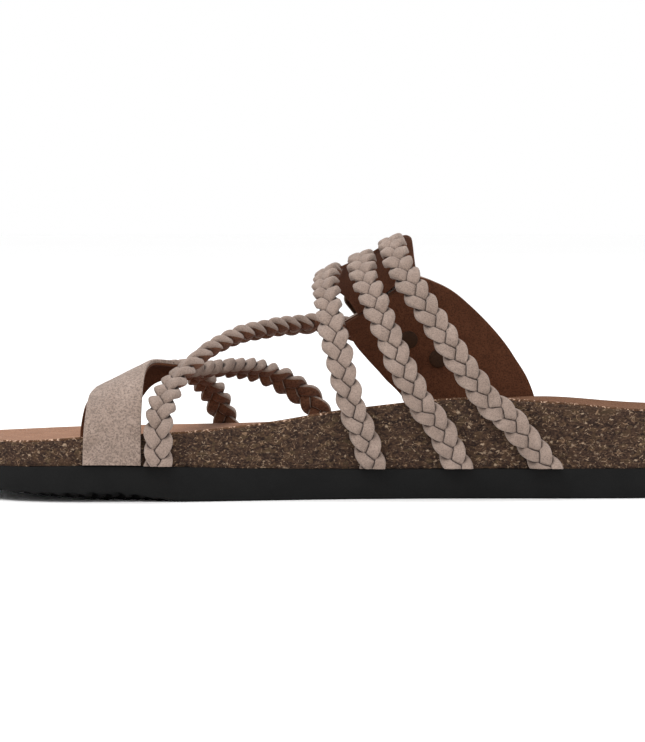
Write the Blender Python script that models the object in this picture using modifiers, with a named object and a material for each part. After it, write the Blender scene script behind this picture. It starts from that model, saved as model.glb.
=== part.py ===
"""Toe loop sandal for the right foot: cork footbed on a foam outsole, with a suede toe loop,
braided straps and a buckled instep strap.

Sizes are in millimetres. +X runs from the toe to the heel, -Y is the medial side, where the big toe is,
and the floor is at Z = 0.
"""

import math

import bmesh
import bpy
import numpy as np
from mathutils import Vector

MM = 0.001
GAP = 0.3
SHARP_ANGLE = math.radians(40)

# Sole
SOLE_LENGTH = 252.0
LEDGE = 1.2
HEEL_RADIUS = 33.0
TOE_RADIUS = 47.0
TOE_ROUNDNESS = 2.4
TOE_LEAN = 5.0
TOE_LEAN_START = -60.0
SPRING_START = -34.0
SPRING_RISE = 3.4
SOLE_BEVEL = 0.9
INSOLE_THICKNESS = 1.5
INSOLE_INSET = 0.4
INSOLE_LIFT = 0.45
RIM_CHAMFER = 0.8
CUP_POWER = 3.2
STATIONS = 40
BED_POINTS = 7
TIP_SHARE = 0.0035

# Tread: grooves across the forefoot and the heel
GROOVE_PITCH = 8.6
GROOVE_WIDTH = 3.0
GROOVE_DEPTH = 1.3
GROOVE_ZONES = ((-106.0, -22.0, 60.0), (60.0, 112.0, 22.0))

# Straps
LEATHER = 2.0
BRAID_WIDTH = 9.8
BRAID_THICKNESS = 4.4
BRAID_PITCH = 6.0
RINGS_PER_PLAIT = 3
PLAIT_SLANT = 0.55
BRAID_SHOULDER = 0.6
BRAID_GROOVE = 0.58
LEAF_HOLLOW = 0.42
EDGE_HOLLOW = 0.16
SEWN_LENGTH = 17.0
SKIN_STEPS = (0.5, 0.01)
LOOP_SEGMENTS = (22, 5)
QUARTER_SEGMENTS = (16, 4)
YOKE_SEGMENTS = (18, 4)

# Toe slot between the first and second toe
TOE_LEG_Y = -8.5
SLOT_CLEARANCE = 0.5
SLOT_X = (-86.8, -71.6)

# Buckle and rivets
WIRE_RADIUS = 1.2
WELD = 0.01
PRONG_RADIUS = 0.8
BAR_RAISED = 3.8
FRAME_WIDTH = 25.0
FRAME_SHIFT = 2.9
FRAME_DEPTH = 10.0
FRAME_CORNER = 3.0
FRAME_TIP_IN = 0.2
FOLD_THICKNESS = 1.2
FOLD_LENGTH = 18.8
NOTCH_WIDTH = 5.0
NOTCH_DEPTH = 7.0
RIVET_RADIUS = 3.0
RIVET_HEAD = 0.5
SHANK_RADIUS = 1.3
RIVET_DROPS = (15.3, 27.0)
RIVET_SHARE = 0.42
HEAD_SIDES = 20
SHANK_SIDES = 10
FOLD_SIDES = 14
BORE_SIDES = 12
HOLE_SIDES = 8
CORNER_TURNS = (0, 30, 60, 90)
EYE_TURNS = range(-200, 91, 30)
PIN_SHARES = (0.25, 0.55, 0.85, 1.25)
PRONG_HOLE_REACH = 1.3


def columns(names, rows):
    """A table as a dict of arrays, one for each named column."""
    return dict(zip(names, np.array(rows, float).T))


# Cork wall half widths, rim heights, footbed height and outsole height at stations along the sole
SOLE = columns(
    ("x", "medial", "lateral", "medial_rim", "lateral_rim", "bed", "sole_top"),
    (
        (-126, 36.0, 34.0, 17.3, 16.9, 16.0, 11.0),
        (-104, 42.0, 39.0, 17.6, 16.5, 15.3, 11.2),
        (-80, 44.2, 43.0, 19.2, 16.6, 15.2, 11.8),
        (-54, 43.5, 44.0, 20.4, 17.0, 15.4, 11.3),
        (-28, 39.5, 42.5, 22.8, 17.7, 16.2, 10.4),
        (5, 34.0, 39.0, 27.6, 20.4, 18.2, 9.8),
        (45, 31.8, 35.5, 30.9, 25.0, 20.0, 9.7),
        (70, 31.8, 33.5, 29.4, 26.6, 19.8, 9.7),
        (100, 31.0, 31.5, 26.9, 25.5, 19.0, 9.7),
        (126, 30.0, 30.0, 26.3, 25.0, 19.0, 9.7),
    ),
)

# Top of the foot under the straps
INSTEP = columns(
    ("x", "crest_z", "crest_y"),
    (
        (-64, 38.1, 0.0),
        (-50, 39.1, 0.5),
        (-37, 41.6, 1.0),
        (-27, 45.6, 1.5),
        (-17, 53.6, 2.0),
        (-4, 70.1, 2.0),
        (9, 75.8, 3.0),
        (19, 81.2, 3.0),
        (32, 86.2, 3.0),
        (80, 94.6, 3.0),
    ),
)

# Top of the big toe under the toe loop
BIG_TOE = columns(
    ("x", "crest_z", "crest_y"),
    (
        (-95, 30.6, -26.0),
        (-86, 31.6, -26.0),
        (-76, 35.9, -25.0),
        (-66, 40.8, -23.5),
        (-61, 42.8, -22.0),
        (-54, 42.2, -20.0),
    ),
)

# A strap's route has a row for each point that it passes. "around" goes round the foot: -2 is the medial
# edge of the outsole, -1 the medial rim, 0 the crest, 1 the lateral rim and 2 the lateral edge of the
# outsole. "raised" is the strap's height over the foot.
ROUTE_COLUMNS = ("x", "around", "raised")
BRAIDS = {
    "diagonal": (
        (-58.8, -2.35, 0.4),
        (-58.8, -1.30, 0.4),
        (-58.4, -0.82, 0.0),
        (-55.6, -0.52, 1.2),
        (-50.2, -0.32, 3.1),
        (-43.2, -0.14, 5.6),
        (-34.0, 0.03, 6.9),
        (-26.0, 0.17, 5.7),
        (-17.0, 0.34, 3.6),
        (-8.5, 0.49, 1.1),
        (-1.5, 0.565, 0.0),
        (5.5, 0.66, 0.0),
    ),
    "toe_rear": (
        (3.0, 2.35, 0.4),
        (-6.0, 1.00, 0.4),
        (-17.0, 0.76, 0.0),
        (-27.0, 0.54, -0.4),
        (-35.0, 0.34, -1.4),
        (-44.0, 0.14, -1.8),
        (-52.0, -0.06, -0.9),
        (-58.5, -0.28, 0.0),
    ),
    "toe_front": (
        (-37.0, 2.35, 0.4),
        (-39.2, 1.00, 0.4),
        (-41.2, 0.84, 0.0),
        (-44.6, 0.64, 0.0),
        (-48.8, 0.42, 0.0),
        (-53.8, 0.17, 0.2),
        (-59.0, -0.08, 0.4),
    ),
    "instep_front": (
        (12.8, -2.45, 0.4),
        (4.8, -1.05, 0.4),
        (0.4, -0.80, 0.0),
        (-3.6, -0.50, 0.0),
        (-4.9, -0.22, 0.0),
        (-4.0, 0.0, 0.0),
        (-2.8, 0.20, 0.0),
    ),
    "instep_middle": (
        (42.8, -2.45, 0.4),
        (27.4, -1.05, 0.4),
        (18.9, -0.82, 0.0),
        (11.2, -0.55, 0.0),
        (7.2, -0.25, 0.0),
        (7.1, 0.0, 0.0),
        (8.2, 0.20, 0.0),
    ),
    "instep_rear": (
        (73.6, -2.45, 0.4),
        (49.8, -1.06, 0.4),
        (38.2, -0.84, 0.0),
        (24.2, -0.52, 0.0),
        (17.8, -0.25, 0.0),
        (16.9, 0.0, 0.0),
        (17.8, 0.20, 0.0),
    ),
}

# Degrees that a braid rolls about its own length, towards the medial side, at places along the sole
ROLLS = {
    "diagonal": columns(
        ("x", "roll"),
        (
            (-59.0, 0),
            (-57.5, -5),
            (-55.7, -15),
            (-54.0, -23),
            (-50.5, -32),
            (-46.0, -31),
            (-43.0, -25),
            (-38.0, -19),
            (-34.0, -12),
            (-30.0, 0),
            (-24.0, 9),
            (-17.0, 21),
            (-10.0, 28),
            (-3.0, 14),
            (4.0, 0),
        ),
    ),
}

# A flat strap lies between a front and a rear edge
TOE_LOOP_FRONT = (
    (-82.8, -2.0, 0.0),
    (-82.6, -1.0, 0.0),
    (-82.0, -0.55, 0.0),
    (-81.5, -0.25, 0.0),
    (-80.0, -0.02, 0.0),
    (-80.2, 0.17, 0.0),
    (-84.8, 0.55, 0.0),
    (-86.4, 1.0, 0.0),
    (-86.4, 2.0, 0.0),
)
TOE_LOOP_REAR = (
    (-64.2, -2.0, 0.0),
    (-64.2, -1.0, 0.0),
    (-63.9, -0.55, 0.0),
    (-63.2, -0.25, 0.0),
    (-61.0, -0.04, 0.0),
    (-47.5, 0.17, 0.0),
    (-66.0, 0.55, 0.0),
    (-72.2, 1.0, 0.0),
    (-72.2, 2.0, 0.0),
)
QUARTER_FRONT = (
    (35.6, 2.0, 0.0),
    (24.6, 1.0, 0.0),
    (17.0, 0.85, 0.0),
    (11.0, 0.745, 0.0),
    (7.0, 0.667, 0.0),
    (3.0, 0.59, 0.0),
)
QUARTER_REAR = (
    (77.0, 2.0, 0.0),
    (67.5, 1.0, 0.0),
    (58.0, 0.83, 0.0),
    (45.0, 0.635, 0.0),
    (37.6, 0.545, 0.0),
    (28.3, 0.48, 0.0),
)
YOKE_FRONT = (
    (-7.5, 0.04, 0.0),
    (-4.4, 0.26, 0.1),
    (1.0, 0.39, 0.1),
    (6.1, 0.49, 3.2),
    (8.6, 0.556, 7.6),
    (13.6, 0.658, 5.8),
    (20.6, 0.79, 3.6),
    (31.0, 0.884, 3.0),
)
YOKE_REAR = (
    (22.6, 0.04, 0.0),
    (23.0, 0.17, 0.1),
    (23.0, 0.294, 0.1),
    (24.1, 0.418, 3.2),
    (26.4, 0.482, 7.6),
    (31.5, 0.578, 5.8),
    (38.2, 0.708, 3.6),
    (39.8, 0.832, 3.0),
)


def hermite(knots, values, at):
    """Smooth curve through a table's rows that never overshoots one, held at its ends."""
    rise = np.diff(values) / np.diff(knots)
    before, after = rise[:-1], rise[1:]
    same = before * after > 0
    inner = np.where(same, 2 * before * after / np.where(same, before + after, 1), 0)
    slopes = np.concatenate([rise[:1], inner, rise[-1:]])
    at = np.clip(at, knots[0], knots[-1])
    row = np.clip(np.searchsorted(knots, at) - 1, 0, len(knots) - 2)
    span = knots[row + 1] - knots[row]
    t = (at - knots[row]) / span
    start = (2 * t**3 - 3 * t**2 + 1) * values[row] + (t**3 - 2 * t**2 + t) * span * slopes[row]
    end = (3 * t**2 - 2 * t**3) * values[row + 1] + (t**3 - t**2) * span * slopes[row + 1]
    return start + end


def sole(column, x):
    return hermite(SOLE["x"], SOLE[column], x)


def end_round(x, grow):
    """Share of the full width that is left where the outline rounds off at the heel and the toe."""
    half = SOLE_LENGTH / 2 - LEDGE + grow
    heel, toe = HEEL_RADIUS + grow, TOE_RADIUS + grow
    from_heel = np.clip((heel - (half - x)) / heel, 0, 1)
    from_toe = np.clip((toe - (half + x)) / toe, 0, 1)
    return np.sqrt(1 - from_heel**2) * (1 - from_toe**TOE_ROUNDNESS) ** (1 / TOE_ROUNDNESS)


def smoothstep(t):
    t = np.clip(t, 0, 1)
    return t * t * (3 - 2 * t)


def wall(x, side, grow=0.0):
    """Y of the cork's side wall, medial for side -1 and lateral for side 1."""
    lean = -TOE_LEAN * smoothstep((TOE_LEAN_START - x) / (SOLE_LENGTH / 2 + TOE_LEAN_START))
    width = sole("medial", x) if side < 0 else sole("lateral", x)
    return lean + side * (width + grow) * end_round(x, grow)


def ground(x):
    """Height of the outsole's underside: flat, with a toe spring."""
    reach = SOLE_LENGTH / 2 + SPRING_START
    return SPRING_RISE * np.clip((SPRING_START - x) / reach, 0, None) ** 2


def bed_height(x, u):
    """Top of the cork from the medial rim, u -1, to the lateral rim, u 1. Its edge is raised all round."""
    half = SOLE_LENGTH / 2 - LEDGE
    heel = max((HEEL_RADIUS - (half - x)) / HEEL_RADIUS, 0) ** 2
    toe = max((TOE_RADIUS - (half + x)) / TOE_RADIUS, 0) ** 2
    cup = (heel + toe + u**2 * (1 - heel - toe)) ** (CUP_POWER / 2)
    rim = sole("medial_rim", x) + (sole("lateral_rim", x) - sole("medial_rim", x)) * smoothstep((u + 1) / 2)
    return sole("bed", x) + (rim - sole("bed", x)) * cup


def round_arch(x, around, raised, crest, lateral_wall, rims, lows):
    """Points on a foot's section: an elliptic arch over two rims, with a straight drop below each."""
    x, around, raised = np.broadcast_arrays(*(np.asarray(v, float) for v in (x, around, raised)))
    side = np.where(around < 0, -1.0, 1.0)
    edge = np.where(around < 0, wall(x, -1) - GAP, lateral_wall)
    rim, low = np.where(around < 0, rims[0], rims[1]), np.where(around < 0, lows[0], lows[1])
    crest_z, crest_y = (hermite(crest["x"], crest[name], x) for name in ("crest_z", "crest_y"))
    angle = np.minimum(np.abs(around), 1) * math.pi / 2
    width, height = np.abs(edge - crest_y), crest_z - rim
    out_y, out_z = side * np.sin(angle) / width, np.cos(angle) / height
    size = np.hypot(out_y, out_z)
    out = np.stack([0 * x, out_y / size, out_z / size], -1)
    drop = np.maximum(np.abs(around) - 1, 0)
    y = crest_y + (edge - crest_y) * np.sin(angle)
    z = rim + height * np.cos(angle) + (low - rim) * drop
    return np.stack([x, y, z], -1) + raised[..., None] * out


def foot_arch(x, around, raised=0.0):
    low = sole("sole_top", x) + GAP
    rims = (sole("medial_rim", x), sole("lateral_rim", x))
    return round_arch(x, around, raised, INSTEP, wall(x, 1) + GAP, rims, (low, low))


def toe_arch(x, around, raised=0.0):
    low = sole("sole_top", x) + GAP
    rims = (sole("medial_rim", x), sole("bed", x) + GAP + INSOLE_THICKNESS)
    return round_arch(x, around, raised, BIG_TOE, TOE_LEG_Y, rims, (low, low + GAP))


def route(rows, steps):
    """A route's columns at even steps between its rows."""
    table = columns(ROUTE_COLUMNS, rows)
    rows_at = np.arange(len(rows), dtype=float)
    at = np.asarray(steps) * (len(rows) - 1)
    return [hermite(rows_at, table[name], at) for name in ROUTE_COLUMNS]


def unit(v):
    return v / np.linalg.norm(v, axis=-1, keepdims=True)


def new_object(name, bm, material, collection):
    """An object from a bmesh in millimetres."""
    bm.normal_update()
    bmesh.ops.recalc_face_normals(bm, faces=bm.faces)
    bmesh.ops.scale(bm, vec=(MM, MM, MM), verts=bm.verts)
    mesh = bpy.data.meshes.new(name)
    bm.to_mesh(mesh)
    bm.free()
    mesh.materials.append(material)
    mesh.shade_smooth()
    mesh.set_sharp_from_angle(angle=SHARP_ANGLE)
    obj = bpy.data.objects.new(name, mesh)
    collection.objects.link(obj)
    if collection is CUTTERS:
        obj.hide_render = True
        obj.display_type = "WIRE"
    return obj


def loft(rings):
    """A closed bmesh through rings of points, with its two ends capped."""
    bm = bmesh.new()
    made = [[bm.verts.new(p) for p in ring] for ring in rings]
    for ring, following in zip(made, made[1:]):
        for i in range(len(ring)):
            j = (i + 1) % len(ring)
            bm.faces.new((ring[i], ring[j], following[j], following[i]))
    bm.faces.new(made[0][::-1])
    bm.faces.new(made[-1])
    return bm


def stations(grow):
    """Places along the sole, closer together where the outline rounds off."""
    half = (SOLE_LENGTH / 2 - LEDGE + grow) * (1 - TIP_SHARE)
    return -half * np.cos(np.linspace(0, math.pi, STATIONS))


def section_ring(x, points):
    return [(x, y, z) for y, z in points]


def outsole_ring(x):
    medial, lateral = wall(x, -1, LEDGE), wall(x, 1, LEDGE)
    low, top = ground(x), sole("sole_top", x)
    bevel = min(SOLE_BEVEL, (lateral - medial) / 6)
    points = (
        (medial + bevel, low),
        (lateral - bevel, low),
        (lateral, low + bevel),
        (lateral, top),
        (medial, top),
        (medial, low + bevel),
    )
    return section_ring(x, points)


def bed_line(x, inset, lift):
    """Points across the footbed's top, from the lateral rim to the medial rim."""
    medial, lateral = wall(x, -1) + inset, wall(x, 1) - inset
    shares = np.linspace(1, -1, BED_POINTS)
    return [((medial + lateral) / 2 + u * (lateral - medial) / 2, bed_height(x, u) + lift) for u in shares]


def footbed_ring(x):
    medial, lateral = wall(x, -1), wall(x, 1)
    low = sole("sole_top", x) + GAP
    chamfer = min(RIM_CHAMFER, (lateral - medial) / 8)
    line = bed_line(x, chamfer, 0.0)
    sides = ((lateral, line[0][1] - chamfer), *line, (medial, line[-1][1] - chamfer))
    return section_ring(x, ((medial, low), (lateral, low), *sides))


def insole_ring(x):
    inset = min(INSOLE_INSET + RIM_CHAMFER, (wall(x, 1) - wall(x, -1)) / 6)
    under = bed_line(x, inset, INSOLE_LIFT)
    over = bed_line(x, inset, INSOLE_LIFT + INSOLE_THICKNESS)
    return section_ring(x, (*under[::-1], *over))


def add_box(bm, low, high):
    made = bmesh.ops.create_cube(bm, size=1.0)["verts"]
    size = Vector(high) - Vector(low)
    bmesh.ops.scale(bm, vec=size, verts=made)
    bmesh.ops.translate(bm, vec=(Vector(high) + Vector(low)) / 2, verts=made)


def groove_cutter():
    bm = bmesh.new()
    for start, end, reach in GROOVE_ZONES:
        for x in np.arange(start, end, GROOVE_PITCH):
            low, high = ground(x) - GROOVE_DEPTH, ground(x) + GROOVE_DEPTH
            half = GROOVE_WIDTH / 2
            add_box(bm, (x - half, -reach, low), (x + half, reach, high))
    return new_object("groove_cutter", bm, RUBBER, CUTTERS)


def toe_slot_cutter():
    bm = bmesh.new()
    low = (SLOT_X[0], TOE_LEG_Y - SLOT_CLEARANCE, 0.0)
    high = (SLOT_X[1], TOE_LEG_Y + LEATHER + SLOT_CLEARANCE, 2 * sole("bed", SLOT_X[0]))
    add_box(bm, low, high)
    return new_object("toe_slot_cutter", bm, CORK, CUTTERS)


def sheet(name, arch, front, rear, segments, collection):
    """A flat strap of leather on the foot, between its front and its rear edge."""
    bm = bmesh.new()
    bmesh.ops.create_grid(bm, x_segments=segments[0], y_segments=segments[1], size=0.5)
    for vert in bm.verts:
        step, share = vert.co.x + 0.5, vert.co.y + 0.5
        x, around, raised = (
            a + (b - a) * share for a, b in zip(route(front, step), route(rear, step))
        )
        vert.co = arch(x, around, raised)
    obj = new_object(name, bm, SUEDE, collection)
    if obj.data.polygons[0].normal @ outward(obj.data.polygons[0].center / MM, arch) < 0:
        obj.data.flip_normals()
    skin = obj.modifiers.new("leather", "SOLIDIFY")
    skin.thickness = LEATHER * MM
    skin.offset = 1.0
    skin.use_even_offset = True
    return obj


def outward(point, arch):
    """Direction out of the foot at a point, from the middle of its section."""
    crest = BIG_TOE if arch is toe_arch else INSTEP
    middle = hermite(crest["x"], crest["crest_y"], point[0])
    return Vector((0.0, point[1] - middle, max(point[2] - sole("bed", point[0]), 0.0)))


def skin_normal(x, around):
    """Direction square to the foot's skin, which leans forward where the instep climbs."""
    along = foot_arch(x + SKIN_STEPS[0], around) - foot_arch(x - SKIN_STEPS[0], around)
    across = foot_arch(x, around + SKIN_STEPS[1]) - foot_arch(x, around - SKIN_STEPS[1])
    return unit(np.cross(along, across))


def rolled(name, point, ahead, out):
    """A braid's outward directions, rolled about its length."""
    if name not in ROLLS:
        return out
    roll = np.radians(hermite(ROLLS[name]["x"], ROLLS[name]["roll"], point[:, 0]))[:, None]
    medial = np.cross(ahead, out)
    medial *= -np.sign(medial[:, 1:2])
    return np.cos(roll) * out + np.sin(roll) * medial


def braid_path(name):
    """Points, directions and outward directions at even distances along a braid's middle."""
    fine = np.linspace(0, 1, 400)
    x, around, raised = route(BRAIDS[name], fine)
    line = foot_arch(x, around, raised + BRAID_THICKNESS / 2)
    normal = skin_normal(x, around)
    run = np.concatenate([[0], np.cumsum(np.linalg.norm(np.diff(line, axis=0), axis=1))])
    count = int(round(run[-1] / BRAID_PITCH * RINGS_PER_PLAIT)) + 1
    at = np.linspace(0, run[-1], count)
    point = np.stack([np.interp(at, run, line[:, k]) for k in range(3)], -1)
    out = np.stack([np.interp(at, run, normal[:, k]) for k in range(3)], -1)
    ahead = unit(np.gradient(point, axis=0))
    out = unit(out - ahead * np.sum(out * ahead, axis=-1, keepdims=True))
    return at, point, ahead, rolled(name, point, ahead, out)


def plait(run, across, under):
    """Height of the plaits, 0 to 1, along and across a braid: leaves that slant out from the middle."""
    shift = 0.5 * (across > 0) + 0.5 * under
    return np.abs(np.sin(math.pi * (run / BRAID_PITCH - PLAIT_SLANT * np.abs(across) + shift)))


def braid(name):
    """One wall with its plaits raised on both faces, cut level at the outsole and pressed flat at its
    sewn end.
    """
    inner, outer = -BRAID_SHOULDER, BRAID_SHOULDER
    ring_shape = ((-1, 0), (inner, 1), (0, 1), (outer, 1), (1, 0), (outer, -1), (0, -1), (inner, -1))
    run, point, ahead, out = braid_path(name)
    beside = np.cross(ahead, out)
    press = smoothstep((run - run[-1] + SEWN_LENGTH) / SEWN_LENGTH)
    thickness = BRAID_THICKNESS + (LEATHER - BRAID_THICKNESS) * press
    point += (thickness - BRAID_THICKNESS)[:, None] / 2 * out
    rings = []
    for i in range(len(run)):
        ring = []
        for across, face in ring_shape:
            leaf = plait(run[i], across, face < 0)
            edge = 1 - EDGE_HOLLOW * (1 - leaf) if face == 0 else 1
            height = BRAID_GROOVE if across == 0 else 1 - LEAF_HOLLOW * (1 - leaf)
            reach, rise = across * edge * BRAID_WIDTH / 2, face * height * thickness[i] / 2
            ring.append(point[i] + reach * beside[i] + rise * out[i])
        rings.append(ring)
    bm = loft(rings)
    seat = sole("sole_top", BRAIDS[name][0][0]) + 2 * GAP
    whole = bm.verts[:] + bm.edges[:] + bm.faces[:]
    bmesh.ops.bisect_plane(bm, geom=whole, plane_co=(0, 0, seat), plane_no=(0, 0, 1), clear_inner=True)
    bmesh.ops.holes_fill(bm, edges=[e for e in bm.edges if e.is_boundary], sides=0)
    return new_object("braid_" + name, bm, SUEDE, CUTTERS)


def boolean(obj, other, operation):
    cut = obj.modifiers.new(other.name, "BOOLEAN")
    cut.operation = operation
    cut.object = other


def rod(name, start, end, radius, sides, material, collection):
    """A round bar between two points."""
    bm = bmesh.new()
    axis = Vector(end) - Vector(start)
    bmesh.ops.create_cone(
        bm, cap_ends=True, segments=sides, radius1=radius, radius2=radius, depth=axis.length
    )
    turn = Vector((0, 0, 1)).rotation_difference(axis)
    bmesh.ops.rotate(bm, verts=bm.verts, matrix=turn.to_matrix())
    bmesh.ops.translate(bm, vec=(Vector(start) + Vector(end)) / 2, verts=bm.verts)
    return new_object(name, bm, material, collection)


class BuckleFrame:
    """The buckle's own axes: along its bar, up the strap to the instep's crest, and out of the foot."""

    def __init__(self):
        ends = [foot_arch(*rows[-1][:2], BAR_RAISED) for rows in (QUARTER_FRONT, QUARTER_REAR)]
        over = [foot_arch(*rows[-1][:2], BAR_RAISED + 1) for rows in (QUARTER_FRONT, QUARTER_REAR)]
        self.bar = unit(ends[1] - ends[0])
        self.middle = (ends[0] + ends[1]) / 2 + FRAME_SHIFT * self.bar
        out = over[0] - ends[0] + over[1] - ends[1]
        self.out = unit(out - self.bar * np.dot(out, self.bar))
        self.up = unit(np.cross(self.bar, self.out))
        self.up *= np.sign(self.up[2])

    def at(self, along, up, out):
        return self.middle + along * self.bar + up * self.up + out * self.out

    def lean(self, up):
        """The frame leans to the foot, so that it follows the strap over the instep."""
        return -FRAME_TIP_IN * up / FRAME_DEPTH


def tube(name, points, radius, cyclic):
    """A wire along points: a curve with a round bevel, made a mesh with its caps welded."""
    data = bpy.data.curves.new(name, "CURVE")
    data.dimensions = "3D"
    data.bevel_depth = radius
    data.bevel_resolution = 2
    data.use_fill_caps = True
    spline = data.splines.new("POLY")
    spline.points.add(len(points) - 1)
    for target, point in zip(spline.points, points):
        target.co = (*point, 1.0)
    spline.use_cyclic_u = cyclic
    wire = bpy.data.objects.new(name + "_wire", data)
    CUTTERS.objects.link(wire)
    bm = bmesh.new()
    bm.from_mesh(wire.to_mesh())
    bpy.data.objects.remove(wire, do_unlink=True)
    bmesh.ops.remove_doubles(bm, verts=bm.verts, dist=WELD)
    return new_object(name, bm, METAL, PARTS)


def buckle_frame(buckle):
    """A rectangle of wire with round corners: its lower side is the bar that the quarter strap holds."""
    half, corner = FRAME_WIDTH / 2, FRAME_CORNER
    centres = (
        (half - corner, corner, -90),
        (half - corner, FRAME_DEPTH - corner, 0),
        (corner - half, FRAME_DEPTH - corner, 90),
        (corner - half, corner, 180),
    )
    points = []
    for along, up, start in centres:
        for turn in CORNER_TURNS:
            angle = math.radians(start + turn)
            a, u = along + corner * math.cos(angle), up + corner * math.sin(angle)
            points.append(buckle.at(a, u, buckle.lean(u)))
    return tube("buckle_frame", points, WIRE_RADIUS, True)


def buckle_prong(buckle):
    """A wire tongue: an eye round the bar, and a pin that rests on the frame's upper side."""
    eye = WIRE_RADIUS + GAP + PRONG_RADIUS
    points = []
    for angle in np.radians(EYE_TURNS):
        points.append(buckle.at(0, -eye * math.cos(angle), eye * math.sin(angle)))
    for share in PIN_SHARES:
        up = share * FRAME_DEPTH
        points.append(buckle.at(0, up, eye + buckle.lean(up)))
    return tube("buckle_prong", points, PRONG_RADIUS, False)


def rivet_frame(drop):
    """Middle of the quarter strap at a distance below its upper edge, and the direction out of it."""
    fine = np.linspace(1, 0, 200)
    edges = zip(route(QUARTER_FRONT, fine), route(QUARTER_REAR, fine))
    x, around, _ = (a + RIVET_SHARE * (b - a) for a, b in edges)
    line = foot_arch(x, around)
    run = np.concatenate([[0], np.cumsum(np.linalg.norm(np.diff(line, axis=0), axis=1))])
    at = np.interp(drop, run, np.arange(len(run)))
    x, around = (np.interp(at, np.arange(len(run)), v) for v in (x, around))
    point = foot_arch(x, around)
    return point, unit(foot_arch(x, around, 1.0) - point)


def rivet(name, drop):
    """A rivet through the quarter strap, with a flat head on each face. Returns the cutter of its hole."""
    point, out = rivet_frame(drop)
    head_in = point - out * (GAP + RIVET_HEAD), point - out * GAP
    head_out = point + out * (LEATHER + GAP), point + out * (LEATHER + GAP + RIVET_HEAD)
    obj = rod(name, *head_in, RIVET_RADIUS, HEAD_SIDES, METAL, PARTS)
    inside_heads = head_in[0] + out * RIVET_HEAD / 2, head_out[1] - out * RIVET_HEAD / 2
    shank = rod(name + "_shank", *inside_heads, SHANK_RADIUS, SHANK_SIDES, METAL, CUTTERS)
    cap = rod(name + "_cap", *head_out, RIVET_RADIUS, HEAD_SIDES, METAL, CUTTERS)
    boolean(obj, shank, "UNION")
    boolean(obj, cap, "UNION")
    through = point - out * LEATHER, point + out * 2 * LEATHER
    return rod(name + "_bore", *through, SHANK_RADIUS + GAP, SHANK_SIDES, METAL, CUTTERS)


def notch_cutter(buckle):
    """The gap in the quarter strap's upper edge for the prong's eye."""
    bm = bmesh.new()
    half = Vector((NOTCH_WIDTH, NOTCH_DEPTH, 2 * NOTCH_DEPTH)) / 2
    add_box(bm, -half, half)
    for vert in bm.verts:
        along, up, out = vert.co
        vert.co = buckle.at(along, up, out)
    return new_object("notch_cutter", bm, METAL, CUTTERS)


def quarter_strap(buckle):
    """The lateral strap, with its upper edge folded round the buckle's bar."""
    quarter = sheet("quarter_strap", foot_arch, QUARTER_FRONT, QUARTER_REAR, QUARTER_SEGMENTS, CUTTERS)
    half = FOLD_LENGTH / 2
    ends = buckle.at(-half, 0, 0), buckle.at(half, 0, 0)
    bore_radius = WIRE_RADIUS + GAP
    fold = rod("quarter_fold", *ends, bore_radius + FOLD_THICKNESS, FOLD_SIDES, SUEDE, CUTTERS)
    through = buckle.at(-2 * half, 0, 0), buckle.at(2 * half, 0, 0)
    bore = rod("bar_bore", *through, bore_radius, BORE_SIDES, SUEDE, CUTTERS)
    boolean(fold, bore, "DIFFERENCE")
    boolean(quarter, fold, "UNION")
    boolean(quarter, notch_cutter(buckle), "DIFFERENCE")
    return quarter


def upper(buckle, rivet_bores):
    """Toe loop, the braids that meet it and the quarter strap, joined where they cross."""
    obj = sheet("upper", toe_arch, TOE_LOOP_FRONT, TOE_LOOP_REAR, LOOP_SEGMENTS, PARTS)
    quarter = quarter_strap(buckle)
    for bore in rivet_bores:
        boolean(quarter, bore, "DIFFERENCE")
    for name in ("toe_rear", "toe_front", "diagonal"):
        boolean(obj, braid(name), "UNION")
    boolean(obj, quarter, "UNION")
    return obj


def instep_strap(buckle):
    """Three braids sewn to a yoke, whose tail runs through the buckle and over the quarter strap."""
    obj = sheet("instep_strap", foot_arch, YOKE_FRONT, YOKE_REAR, YOKE_SEGMENTS, PARTS)
    eye = WIRE_RADIUS + GAP + PRONG_RADIUS
    reach = PRONG_HOLE_REACH * FRAME_DEPTH
    pin = buckle.at(0, 0, eye), buckle.at(0, reach, eye + buckle.lean(reach))
    hole = rod("prong_hole", *pin, PRONG_RADIUS + 2 * GAP, HOLE_SIDES, SUEDE, CUTTERS)
    boolean(obj, hole, "DIFFERENCE")
    for name in ("instep_front", "instep_middle", "instep_rear"):
        boolean(obj, braid(name), "UNION")
    return obj


def material(name, color, roughness, metallic=0.0):
    made = bpy.data.materials.new(name)
    made.use_nodes = True
    shader = made.node_tree.nodes["Principled BSDF"]
    shader.inputs["Base Color"].default_value = (*color, 1.0)
    shader.inputs["Roughness"].default_value = roughness
    shader.inputs["Metallic"].default_value = metallic
    return made


def collection(name):
    made = bpy.data.collections.new(name)
    bpy.context.scene.collection.children.link(made)
    return made


for old in list(bpy.data.objects):
    bpy.data.objects.remove(old, do_unlink=True)
PARTS = collection("toe_loop_sandal")
CUTTERS = collection("cutters")
RUBBER = material("black_foam", (0.014, 0.014, 0.013), 0.55)
CORK = material("cork", (0.10, 0.065, 0.045), 0.85)
LINING = material("brown_suede", (0.26, 0.13, 0.075), 0.9)
SUEDE = material("stone_suede", (0.43, 0.34, 0.28), 0.95)
METAL = material("dark_bronze", (0.07, 0.05, 0.035), 0.35, 1.0)

outsole = new_object("outsole", loft([outsole_ring(x) for x in stations(LEDGE)]), RUBBER, PARTS)
boolean(outsole, groove_cutter(), "DIFFERENCE")
slot = toe_slot_cutter()
for layer, ring, stuff in (("footbed", footbed_ring, CORK), ("insole", insole_ring, LINING)):
    made = new_object(layer, loft([ring(x) for x in stations(0.0)]), stuff, PARTS)
    boolean(made, slot, "DIFFERENCE")

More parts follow.
